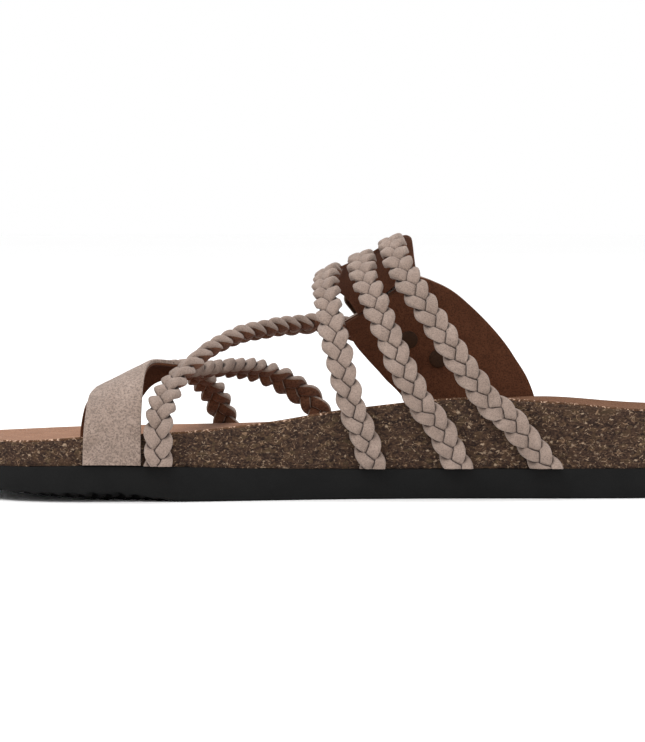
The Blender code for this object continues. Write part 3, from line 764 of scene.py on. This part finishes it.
def outsole():
    """Foam outsole with rounded edges and a wavy tread."""
    rings = []
    turn = arc()
    across = (1 - np.cos(np.linspace(0, math.pi, TREAD_POINTS))) / 2
    for x in stations(LEDGE, OUTSOLE_RINGS):
        medial, lateral = wall(x, -1, LEDGE), wall(x, 1, LEDGE)
        top = sole("sole_top", x)
        round_by = min(SIDE_ROUND, (lateral - medial) / 6)
        small = min(TOP_ROUND, (lateral - medial) / 6)
        low = ground(x) + rocker(x, 0.0)
        y = medial + round_by + (lateral - medial - 2 * round_by) * across
        z = ground(x) + tread(x, y) + rocker(x, np.minimum(y - medial, lateral - y) - round_by)
        y, z = [*y], [*z]
        y += [*(lateral - round_by + round_by * np.sin(turn[1:]))]
        z += [*(low + round_by * (1 - np.cos(turn[1:])) + (z[-1] - low) * (1 - turn[1:] / turn[-1]))]
        y += [*(lateral - small + small * np.cos(turn))]
        z += [*(top - small + small * np.sin(turn))]
        y += [*(medial + small - small * np.sin(turn))]
        z += [*(top - small + small * np.cos(turn))]
        y += [*(medial + round_by - round_by * np.cos(turn[:-1]))]
        z += [*(low + round_by * (1 - np.sin(turn[:-1])))]
        rings.append(section(x, y, z))
    made = piece("outsole_skin", rings, loft_faces(len(rings), len(rings[0])), [FOAM])
    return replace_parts(made, "outsole")


def footbed():
    """Cork footbed with a crumbly side wall."""
    rings = []
    turn = arc(4)
    across = np.linspace(1, -1, BED_POINTS)
    for x in stations(0.0, FOOTBED_RINGS):
        medial, lateral = wall(x, -1), wall(x, 1)
        low = sole("sole_top", x) + SKIN_GAP
        round_by = min(RIM_ROUND, (lateral - medial) / 8)
        middle, half = (medial + lateral) / 2, (lateral - medial) / 2 - 3 * round_by
        top = bed_height(x, across)
        lips = bed_height(x, np.array((1.0, -1.0))) + RIM_LIP
        up = np.linspace(0, 1, WALL_POINTS)[:-1]
        y = [medial, *np.full(len(up), lateral)]
        z = [low, *(low + (lips[0] - round_by - low) * up)]
        y += [*(lateral - round_by + round_by * np.cos(turn))]
        z += [*(lips[0] - round_by + round_by * np.sin(turn))]
        y += [*(middle + half * across)]
        z += [*top]
        y += [*(medial + round_by - round_by * np.sin(turn))]
        z += [*(lips[1] - round_by + round_by * np.cos(turn))]
        y += [*np.full(len(up) - 1, medial)]
        z += [*(low + (lips[1] - round_by - low) * up[:0:-1])]
        rings.append(section(x, y, z))
    made = piece("footbed_skin", rings, loft_faces(len(rings), len(rings[0])), [CORK])
    crumble(made)
    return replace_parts(made, "footbed")


def crumble(obj):
    """Sinks each crumb of the cork by its own small depth."""
    for vert in obj.data.vertices:
        _, points = noise.voronoi(vert.co / (CRUMB_SIZE * MM))
        vert.co += vert.normal * (CRUMB_DEPTH * MM * noise.cell(points[0] * CRUMB_SCATTER))


def insole():
    """Suede sock on the footbed, with a frayed raw edge along the rim."""
    rings = []
    across = np.linspace(1, -1, SOCK_POINTS)
    turn = arc(4)
    for x in stations(0.0, INSOLE_RINGS):
        inset = min(RIM_ROUND + SOCK_CLEARANCE, (wall(x, 1) - wall(x, -1)) / 6)
        medial, lateral = wall(x, -1) + inset, wall(x, 1) - inset
        round_by = min(SOCK_EDGE, (lateral - medial) / 8)
        middle, half = (medial + lateral) / 2, (lateral - medial) / 2
        height = bed_height(x, across)
        low, high = height + INSOLE_LIFT - SOCK_SINK, height + INSOLE_LIFT + INSOLE_THICKNESS
        y = [*(middle + (half - round_by) * across)]
        z = [*high]
        y += [*(medial + round_by - round_by * np.sin(turn[1:]))]
        z += [*(high[-1] - round_by + round_by * np.cos(turn[1:]))]
        y += [*(middle + half * across[::-SOCK_UNDER_STEP])]
        z += [*low[::-SOCK_UNDER_STEP]]
        y += [*(lateral - round_by + round_by * np.cos(turn[:-1]))]
        z += [*(high[0] - round_by + round_by * np.sin(turn[:-1]))]
        rings.append(section(x, y, z))
    size = len(rings[0])
    faces = loft_faces(len(rings), size)
    edge = [int(k % size >= len(across) - 1) for k in range(len(faces) - 2)] + [1, 1]
    made = piece("insole_skin", rings, faces, [SOCK, EDGE], edge)
    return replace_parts(made, "insole")


# Flat straps

STRAP_CORNER = 0.35
TIP_LIMIT = 0.985

# Sewn braid ends under the yoke's suede
YOKE_START = 0.085
YOKE_LIFT = 2.3
YOKE_LEAST = 0.5
YOKE_BRAIDS = (-3.2, 7.8, 17.4)
YOKE_BRAID_REACH = 4.6
YOKE_SETTLE_START = 0.16
YOKE_SETTLE_RAMP = 0.12


def yoke_swell(x, around):
    """The yoke's suede lifts over the three sewn braid ends."""
    over = sum(np.exp(-(((x - middle) / YOKE_BRAID_REACH) ** 4)) for middle in YOKE_BRAIDS)
    settled = smoothstep((around - YOKE_SETTLE_START) / YOKE_SETTLE_RAMP)
    return YOKE_LIFT * np.clip(over, YOKE_LEAST, 1) * (1 - settled)


def strap(
    name, arch, front, rear, low, high, stuff, slot, start=0.0, tip=0.0, inset=0.0, nose=0.0, swell=None
):
    """A flat strap between two heights over the foot, with rounded edges. It begins at the share start of its
    length and rounds off over the last share, tip. Inset draws its rear edge in, nose is the radius of the
    corners that it begins with, and swell gives how much it lifts at a place.
    """
    along, across = 150, 26
    steps = np.linspace(start, 1, along)
    front, rear = np.array(route(front, steps)), np.array(route(rear, steps))
    if tip:
        left = np.sqrt(1 - np.clip((steps - 1 + tip) / tip, 0, TIP_LIMIT) ** 2)
        middle, half = (front + rear) / 2, (front - rear) / 2 * left
        front, rear = middle + half, middle - half
    width = np.linalg.norm(arch(*rear) - arch(*front), axis=-1)
    line = arch(*((front + rear) / 2))
    run = distances(line)
    round_off = nose * (1 - np.sqrt(1 - np.clip(1 - run / max(nose, 0.01), 0, 1) ** 2))
    way = (rear - front) / width
    front, rear = front + way * round_off, rear - way * (round_off + inset)
    width = (width - 2 * round_off - inset)[:, None]
    corner = min(STRAP_CORNER, (high - low) / 2)
    turn = arc(4)[None, :]
    face = np.linspace(0, 1, across)[None, :]
    flat = np.ones_like(width)
    place = np.concatenate(
        [
            corner + (width - 2 * corner) * face,
            width - corner + corner * np.sin(turn[:, 1:]),
            width - corner + corner * np.cos(turn[:, :-1]),
            corner + (width - 2 * corner) * face[:, ::-1],
            corner - corner * np.sin(turn[:, 1:]) * flat,
            corner - corner * np.cos(turn[:, :-1]) * flat,
        ],
        axis=1,
    )
    height = np.concatenate(
        [
            high * flat + 0 * face,
            high - corner * (1 - np.cos(turn[:, 1:])) * flat,
            low + corner * (1 - np.sin(turn[:, :-1])) * flat,
            low * flat + 0 * face,
            low + corner * (1 - np.cos(turn[:, 1:])) * flat,
            high - corner * (1 - np.sin(turn[:, :-1])) * flat,
        ],
        axis=1,
    )
    share = place / width
    x, around, raised = (a[:, None] + (b - a)[:, None] * share for a, b in zip(front, rear))
    if swell is not None:
        height = height + swell(x, around)
    points = arch(x, around, raised + height)
    size = points.shape[1]
    faces = loft_faces(along, size)
    first = across + 2 * (turn.shape[1] - 1) - 1
    foot_side = [int(first <= k % size < first + across) for k in range(len(faces) - 2)] + [0, 0]
    return piece(name, points, faces, [stuff, LINING], foot_side)


def suede_strap(name, arch, front, rear, **settings):
    low = LINING_THICKNESS + SKIN_GAP
    return strap(name + "_suede", arch, front, rear, low, LEATHER, SUEDE, "suede", **settings)


def lining_strap(name, arch, front, rear, **settings):
    return strap(name + "_lining", arch, front, rear, 0.0, LINING_THICKNESS, LINING, "lining", **settings)


# Braids

PLAIT_PERIOD = 18.6
STRAND_SWING = 2.8
STRAND_BEND = 0.6
STRAND_WEAVE = 1.45
STRAND_WIDTH = 2.0
STRAND_TURN_WIDTH = 1.85
STRAND_DEPTH = 1.05
STRAND_TURN_DEPTH = 1.55
STRAND_STEP = 0.4
STRAND_SIDES = 16
STRAND_ROUND_WIDE = 0.62
STRAND_ROUND_HIGH = 0.5
SWING_WOBBLE = 0.04
WIDTH_WOBBLE = 0.05
WOBBLE_PITCH = 6
PATH_POINTS = 600
SOFTEN = 11
SKIN_STEP = 0.5
SKIN_TURN = 0.01
PRESS_LENGTH = 7.0

# Lengths over which sewn braid ends lie flatter, and the share of the thickness that is left
SEWN_ENDS = {
    "diagonal": (15.0, 0.28),
    "toe_rear": (9.0, 0.4),
    "toe_front": (9.0, 0.4),
    "instep_front": (14.0, 0.5),
    "instep_middle": (14.0, 0.5),
    "instep_rear": (14.0, 0.5),
}

# Lengths that braids give up where the toe loop hides their sewn ends
TRIMS = {"toe_rear": 6.5}

# Degrees that the diagonal braid rolls towards the medial side at places along the sole
DIAGONAL_ROLL = columns(
    ("x", "roll"),
    (
        (-59.0, 0),
        (-57.5, -5),
        (-55.7, -15),
        (-54.0, -23),
        (-50.5, -32),
        (-46.0, -31),
        (-43.0, -25),
        (-38.0, -19),
        (-34.0, -12),
        (-30.0, 0),
        (-24.0, 9),
        (-17.0, 21),
        (-10.0, 28),
        (-3.0, 14),
        (4.0, 0),
    ),
)


def skin_normal(x, around):
    """Direction square to the foot's skin, which leans forward where the instep climbs."""
    along = foot_arch(x + SKIN_STEP, around) - foot_arch(x - SKIN_STEP, around)
    across = foot_arch(x, around + SKIN_TURN) - foot_arch(x, around - SKIN_TURN)
    return unit(np.cross(along, across))


def braid_path(rows, step, trim):
    """Points, directions and outward directions at even distances along a braid's middle."""
    fine = np.linspace(0, 1, PATH_POINTS)
    x, around, raised = route(rows, fine)
    line = foot_arch(x, around, raised + BRAID_THICKNESS / 2)
    over = skin_normal(x, around)
    run = distances(line)
    at = np.linspace(0, run[-1] - trim, int(round((run[-1] - trim) / step)) + 1)
    point = np.stack([np.interp(at, run, line[:, k]) for k in range(3)], -1)
    out = np.stack([np.interp(at, run, over[:, k]) for k in range(3)], -1)
    soft = np.hanning(2 * SOFTEN + 1)
    soft = soft / soft.sum()
    for values in (point, out):
        values[SOFTEN:-SOFTEN] = np.stack([np.convolve(values[:, k], soft, "valid") for k in range(3)], -1)
    ahead = unit(np.gradient(point, axis=0))
    out = unit(out - ahead * np.sum(out * ahead, axis=-1, keepdims=True))
    if rows is BRAIDS["diagonal"]:
        roll = np.radians(hermite(DIAGONAL_ROLL["x"], DIAGONAL_ROLL["roll"], point[:, 0]))[:, None]
        beside = np.cross(ahead, out)
        beside *= -np.sign(beside[:, 1:2])
        out = np.cos(roll) * out + np.sin(roll) * beside
    return at, point, ahead, out


def strand(run, point, beside, out, flat, phase, wobble):
    """Rings of one strand of a three-strand plait: it swings from side to side and weaves over and under."""
    turn = 2 * math.pi * run / PLAIT_PERIOD + phase
    zigzag = np.arcsin(STRAND_BEND * np.sin(turn)) / math.asin(STRAND_BEND)
    swing = STRAND_SWING * zigzag * (1 + SWING_WOBBLE * wobble)
    weave = STRAND_WEAVE * np.sin(2 * turn) * flat
    line = point + swing[:, None] * beside + weave[:, None] * out
    ahead = unit(np.gradient(line, axis=0))
    up = unit(out - ahead * np.sum(out * ahead, axis=-1, keepdims=True))
    side = np.cross(ahead, up)
    outer = np.abs(np.sin(turn)) ** 4
    angle = circle(STRAND_SIDES)
    wide = np.sign(np.cos(angle)) * np.abs(np.cos(angle)) ** STRAND_ROUND_WIDE
    high = np.sign(np.sin(angle)) * np.abs(np.sin(angle)) ** STRAND_ROUND_HIGH
    half_width = (STRAND_WIDTH + (STRAND_TURN_WIDTH - STRAND_WIDTH) * outer) * (1 + WIDTH_WOBBLE * wobble)
    half_depth = (STRAND_DEPTH + (STRAND_TURN_DEPTH - STRAND_DEPTH) * outer) * flat
    return (
        line[:, None, :]
        + half_width[:, None, None] * wide[None, :, None] * side[:, None, :]
        + half_depth[:, None, None] * high[None, :, None] * up[:, None, :]
    )


def braid(name, random):
    """A plait of three suede laces, beige outside and brown towards the foot, cut level at the outsole. The
    brown is lightened as painted bounce light.
    """
    run, point, ahead, out = braid_path(BRAIDS[name], STRAND_STEP, TRIMS.get(name, 0.0))
    beside = np.cross(ahead, out)
    sewn_length, sewn_share = SEWN_ENDS[name]
    press = smoothstep((run - run[-1] + sewn_length) / PRESS_LENGTH)
    flat = 1 - (1 - sewn_share) * press
    point = point - ((1 - flat) * BRAID_THICKNESS / 2 - press * LINING_THICKNESS)[:, None] * out
    points, faces, inner = [], [], []
    for i in range(3):
        knots = random.normal(0, 1, int(run[-1] / WOBBLE_PITCH) + 3)
        wobble = np.interp(run / WOBBLE_PITCH, np.arange(len(knots)), knots)
        rings = strand(run, point, beside, out, flat, 2 * math.pi * i / 3, wobble)
        start = sum(len(p) for p in points)
        made = loft_faces(len(rings), STRAND_SIDES, start=start)
        points.append(rings.reshape(-1, 3))
        faces += made
        back = range(STRAND_SIDES // 2 + 2, STRAND_SIDES - 2)
        inner += [int(k % STRAND_SIDES in back) for k in range(len(made) - 2)] + [0, 0]
    obj = piece("braid_" + name, points, faces, [LACE, LACE_BACK_PAINTED_LIGHT], inner)
    seat = (sole("sole_top", BRAIDS[name][0][0]) + GAP) * MM
    bm = bmesh.new()
    bm.from_mesh(obj.data)
    whole = bm.verts[:] + bm.edges[:] + bm.faces[:]
    bmesh.ops.bisect_plane(bm, geom=whole, plane_co=(0, 0, seat), plane_no=(0, 0, 1), clear_inner=True)
    bmesh.ops.holes_fill(bm, edges=[e for e in bm.edges if e.is_boundary], sides=0)
    bm.to_mesh(obj.data)
    bm.free()
    return obj


# Buckle and rivets

HOLE_SIDES, FOLD_SIDES, RIVET_SIDES = 32, 28, 36
CORNER_STEP, EYE_STEP = 9, 10
EYE_START = -200
EYE_RADIUS = WIRE_RADIUS + GAP + PRONG_RADIUS
FOLD_ROUND = 0.03

# Least sine of the angle between a wire and the direction that its rings start from
LEAST_SINE = 0.3

# Start, end and count of the points along the prong, in the searches for its hole, and of a rivet's dome
PIN_SHARES = (0.2, 1.25, 12)
HOLE_ALONG = (0.4, 0.62, 300)
HOLE_ACROSS = (0.2, 0.8, 121)
DOME_TURNS = (0.3, 1.45, 7)
RIVET_SEARCH = (1, 0, 200)


class BuckleFrame:
    """The buckle's own axes: along its bar, up the strap to the instep's crest, and out of the foot."""

    def __init__(self):
        ends = [foot_arch(*rows[-1][:2], BAR_RAISED) for rows in (QUARTER_FRONT, QUARTER_REAR)]
        over = [foot_arch(*rows[-1][:2], BAR_RAISED + 1) for rows in (QUARTER_FRONT, QUARTER_REAR)]
        self.bar = unit(ends[1] - ends[0])
        self.middle = (ends[0] + ends[1]) / 2 + FRAME_SHIFT * self.bar
        out = over[0] - ends[0] + over[1] - ends[1]
        self.out = unit(out - self.bar * np.dot(out, self.bar))
        self.up = unit(np.cross(self.bar, self.out))
        self.up *= np.sign(self.up[2])

    def at(self, along, up, out):
        return self.middle + along * self.bar + up * self.up + out * self.out

    def lean(self, up):
        """The frame leans to the foot, so that it follows the strap over the instep."""
        return -FRAME_TIP_IN * up / FRAME_DEPTH


def wire(name, line, radius, closed):
    """A round wire along points. Its open ends are rounded off."""
    line = np.asarray(line, float)
    if closed:
        ahead = unit(np.roll(line, -1, 0) - np.roll(line, 1, 0))
    else:
        ahead = unit(np.gradient(line, axis=0))
    radii = np.full(len(line), radius)
    if not closed:
        turn = arc()[1:-1]
        reach, caps = radius * np.cos(turn), radius * np.sin(turn)
        first = [line[0] - ahead[0] * r for r in reach]
        last = [line[-1] + ahead[-1] * r for r in reach[::-1]]
        line = np.array([*first, *line, *last])
        ahead = np.array([*[ahead[0]] * len(turn), *ahead, *[ahead[-1]] * len(turn)])
        radii = np.array([*caps, *radii, *caps[::-1]])
    side = np.cross(ahead, BUCKLE.out)
    weak = np.linalg.norm(side, axis=1) < LEAST_SINE
    side[weak] = np.cross(ahead[weak], BUCKLE.bar)
    side = unit(side)
    for i in range(1, len(side)):
        side[i] = unit(side[i - 1] - ahead[i] * np.dot(side[i - 1], ahead[i]))
    up = np.cross(side, ahead)
    angle = circle(WIRE_SIDES)
    points = (
        line[:, None, :]
        + radii[:, None, None] * np.cos(angle)[None, :, None] * side[:, None, :]
        + radii[:, None, None] * np.sin(angle)[None, :, None] * up[:, None, :]
    )
    return piece(name, points, loft_faces(len(line), WIRE_SIDES, closed), [BRONZE])


def buckle_frame():
    """A rectangle of wire with round corners: its lower side is the bar that the quarter strap holds."""
    half, corner = FRAME_WIDTH / 2, FRAME_CORNER
    centres = (
        (half - corner, corner, -90),
        (half - corner, FRAME_DEPTH - corner, 0),
        (corner - half, FRAME_DEPTH - corner, 90),
        (corner - half, corner, 180),
    )
    points = []
    for along, up, start in centres:
        for turn in range(0, 91, CORNER_STEP):
            angle = math.radians(start + turn)
            a, u = along + corner * math.cos(angle), up + corner * math.sin(angle)
            points.append(BUCKLE.at(a, u, BUCKLE.lean(u)))
    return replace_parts(wire("buckle_frame_wire", points, WIRE_RADIUS, True), "buckle_frame")


def buckle_prong():
    """A wire tongue: an eye round the bar, and a pin that rests on the frame's upper side."""
    points = []
    for angle in np.radians(np.arange(EYE_START, 91, EYE_STEP)):
        points.append(BUCKLE.at(0, -EYE_RADIUS * math.cos(angle), EYE_RADIUS * math.sin(angle)))
    for share in np.linspace(*PIN_SHARES):
        up = share * FRAME_DEPTH
        points.append(BUCKLE.at(0, up, EYE_RADIUS + BUCKLE.lean(up)))
    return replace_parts(wire("buckle_prong_wire", points, PRONG_RADIUS, False), "buckle_prong")


def turned(name, profile, middle, axes, sides):
    """A shape turned from radii and heights about the last of three axes."""
    angle = circle(sides)[:, None]
    ring = np.cos(angle) * axes[0] + np.sin(angle) * axes[1]
    points = [middle + height * axes[2] + radius * ring for radius, height in profile]
    return piece(name, points, loft_faces(len(profile), sides), [RIVET_PAINT_AND_HOLE_SHADE])


def prong_hole():
    """A flat dark disc on the tail where the prong comes up through it: the painted shade of a punched hole.
    """
    steps = np.linspace(*HOLE_ALONG)
    front, rear = np.array(route(YOKE_FRONT, steps)), np.array(route(YOKE_REAR, steps))
    share = np.linspace(*HOLE_ACROSS)[None, None, :]
    places = front[:, :, None] + (rear - front)[:, :, None] * share
    skin = foot_arch(places[0], places[1], places[2] + LEATHER)
    along, up, out = ((skin - BUCKLE.middle) @ way for way in (BUCKLE.bar, BUCKLE.up, BUCKLE.out))
    pin = EYE_RADIUS + BUCKLE.lean(up)
    apart = np.where(up < 0, np.inf, np.hypot(along, out - pin))
    i, k = np.unravel_index(np.argmin(apart), apart.shape)
    middle = skin[i, k]
    ahead, beside = skin[i + 1, k] - skin[i - 1, k], skin[i, k + 1] - skin[i, k - 1]
    normal = unit(np.cross(ahead, beside))
    normal = normal * np.sign(normal @ BUCKLE.out)
    ahead = unit(ahead)
    axes = (HOLE_STRETCH * ahead, np.cross(normal, ahead), normal)
    radii = (POINT_RADIUS, HOLE_RADIUS, HOLE_RADIUS, POINT_RADIUS)
    profile = [*zip(radii, (-HOLE_DEPTH, -HOLE_DEPTH, HOLE_LIFT, HOLE_LIFT))]
    # Painted shade: the dark disc stands for the shade seen in the hole.
    return turned("prong_hole", profile, middle, axes, HOLE_SIDES)


def fold(name, start, end):
    """A roll of suede round the buckle's bar."""
    inner, outer = WIRE_RADIUS + GAP, WIRE_RADIUS + GAP + FOLD_THICKNESS
    corners = (
        (inner, FOLD_ROUND),
        (inner, 1 - FOLD_ROUND),
        (inner + FOLD_EDGE, 1.0),
        (outer - FOLD_EDGE, 1.0),
        (outer, 1 - FOLD_ROUND),
        (outer, FOLD_ROUND),
        (outer - FOLD_EDGE, 0.0),
        (inner + FOLD_EDGE, 0.0),
    )
    rings = []
    for a in circle(FOLD_SIDES):
        ring = []
        for radius, share in corners:
            along = start + (end - start) * share
            ring.append(BUCKLE.at(along, radius * math.sin(a), radius * math.cos(a)))
        rings.append(ring)
    return piece(name, rings, loft_faces(len(rings), len(corners), True), [SUEDE])


def rivet_frame(drop, share):
    """Place on the quarter strap a distance below its upper edge and a share of the way from its front edge
    to its rear edge, and the direction out of it.
    """
    fine = np.linspace(*RIVET_SEARCH)
    edges = zip(route(QUARTER_FRONT, fine), route(QUARTER_REAR, fine))
    x, around, _ = (a + share * (b - a) for a, b in edges)
    line = foot_arch(x, around)
    run = distances(line)
    at = np.interp(drop, run, np.arange(len(run)))
    x, around = (np.interp(at, np.arange(len(run)), v) for v in (x, around))
    point = foot_arch(x, around)
    return point, unit(foot_arch(x, around, 1.0) - point)


def rivet(name, drop, share):
    """A rivet with a low domed head on each face of the quarter strap and a shank between them."""
    point, out = rivet_frame(drop, share)
    side = unit(np.cross(out, (0, 0, 1)))
    half = [(POINT_RADIUS, RIVET_HEAD + GAP)]
    for turn in np.linspace(*DOME_TURNS):
        half.append((RIVET_RADIUS * math.sin(turn), GAP + RIVET_HEAD * math.cos(turn) ** 0.5))
    half += [(RIVET_RADIUS, SKIN_GAP), (SHANK_RADIUS, SKIN_GAP)]
    profile = [(radius, -height) for radius, height in half]
    profile += [(radius, LEATHER + height) for radius, height in half[::-1]]
    axes = (side, np.cross(out, side), out)
    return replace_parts(turned(name + "_domed", profile, point, axes, RIVET_SIDES), name)


# Stage

FLOOR_SIZE = 12.0

# Name, place, size and power of each light, in metres and watts
LIGHTS = (
    ("key_light", (-0.5, -0.7, 1.3), 0.9, 9.0),
    ("top_light", (0.3, 0.5, 1.5), 1.2, 9.0),
)


def stage():
    """A white floor under a white sky, with two soft lights."""
    bpy.ops.mesh.primitive_plane_add(size=FLOOR_SIZE)
    floor = bpy.context.object
    floor.name = "floor"
    floor.data.materials.append(floor_material())
    world = bpy.data.worlds.new("studio")
    bpy.context.scene.world = world
    world.use_nodes = True
    background = world.node_tree.nodes["Background"]
    background.inputs["Color"].default_value = (1.0, 1.0, 1.0, 1.0)
    background.inputs["Strength"].default_value = 1.0
    for name, place, size, power in LIGHTS:
        light = bpy.data.lights.new(name, "AREA")
        light.shape = "DISK"
        light.size = size
        light.energy = power
        lamp = bpy.data.objects.new(name, light)
        lamp.location = place
        lamp.rotation_euler = (-Vector(place)).to_track_quat("-Z", "Y").to_euler()
        bpy.context.scene.collection.objects.link(lamp)
    bpy.context.scene.view_settings.view_transform = "Standard"


def camera():
    """The camera that matches the photo."""
    data = bpy.data.cameras.new("photo_camera")
    data.sensor_width = SENSOR
    data.lens = FOCAL_PIXELS / IMAGE_HEIGHT * SENSOR
    data.clip_start = 0.01
    made = bpy.data.objects.new("photo_camera", data)
    made.location = CAMERA_PLACE
    made.rotation_euler = (math.radians(90 - CAMERA_DIP), 0.0, 0.0)
    bpy.context.scene.collection.objects.link(made)
    bpy.context.scene.camera = made


random = np.random.default_rng(SEED)
BUCKLE = BuckleFrame()
camera()
stage()
outsole()
footbed()
insole()
suede_strap("toe_loop", toe_arch, TOE_LOOP_FRONT, TOE_LOOP_REAR)
lining_strap("toe_loop", toe_arch, TOE_LOOP_FRONT, TOE_LOOP_REAR)
quarter = suede_strap("quarter_strap", foot_arch, QUARTER_SUEDE_FRONT, QUARTER_SUEDE_REAR, inset=1.0)
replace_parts(quarter, "upper")
lining_strap("quarter_strap", foot_arch, QUARTER_LINING_FRONT, QUARTER_LINING_REAR)
yoke_settings = {"tip": 0.08, "start": YOKE_START, "nose": 3.0, "swell": yoke_swell}
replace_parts(suede_strap("yoke", foot_arch, YOKE_FRONT, YOKE_REAR, **yoke_settings), "instep_strap")
lining_strap("yoke", foot_arch, YOKE_LINING_FRONT, YOKE_LINING_REAR, nose=2.6)
for name in BRAIDS:
    braid(name, random)
buckle_frame()
buckle_prong()
prong_hole()
fold("quarter_fold_front", -FOLD_LENGTH / 2, -NOTCH_WIDTH / 2)
fold("quarter_fold_rear", NOTCH_WIDTH / 2, FOLD_LENGTH / 2)
for i, place in enumerate(RIVET_PLACES):
    rivet(f"rivet_{i + 1}", *place)
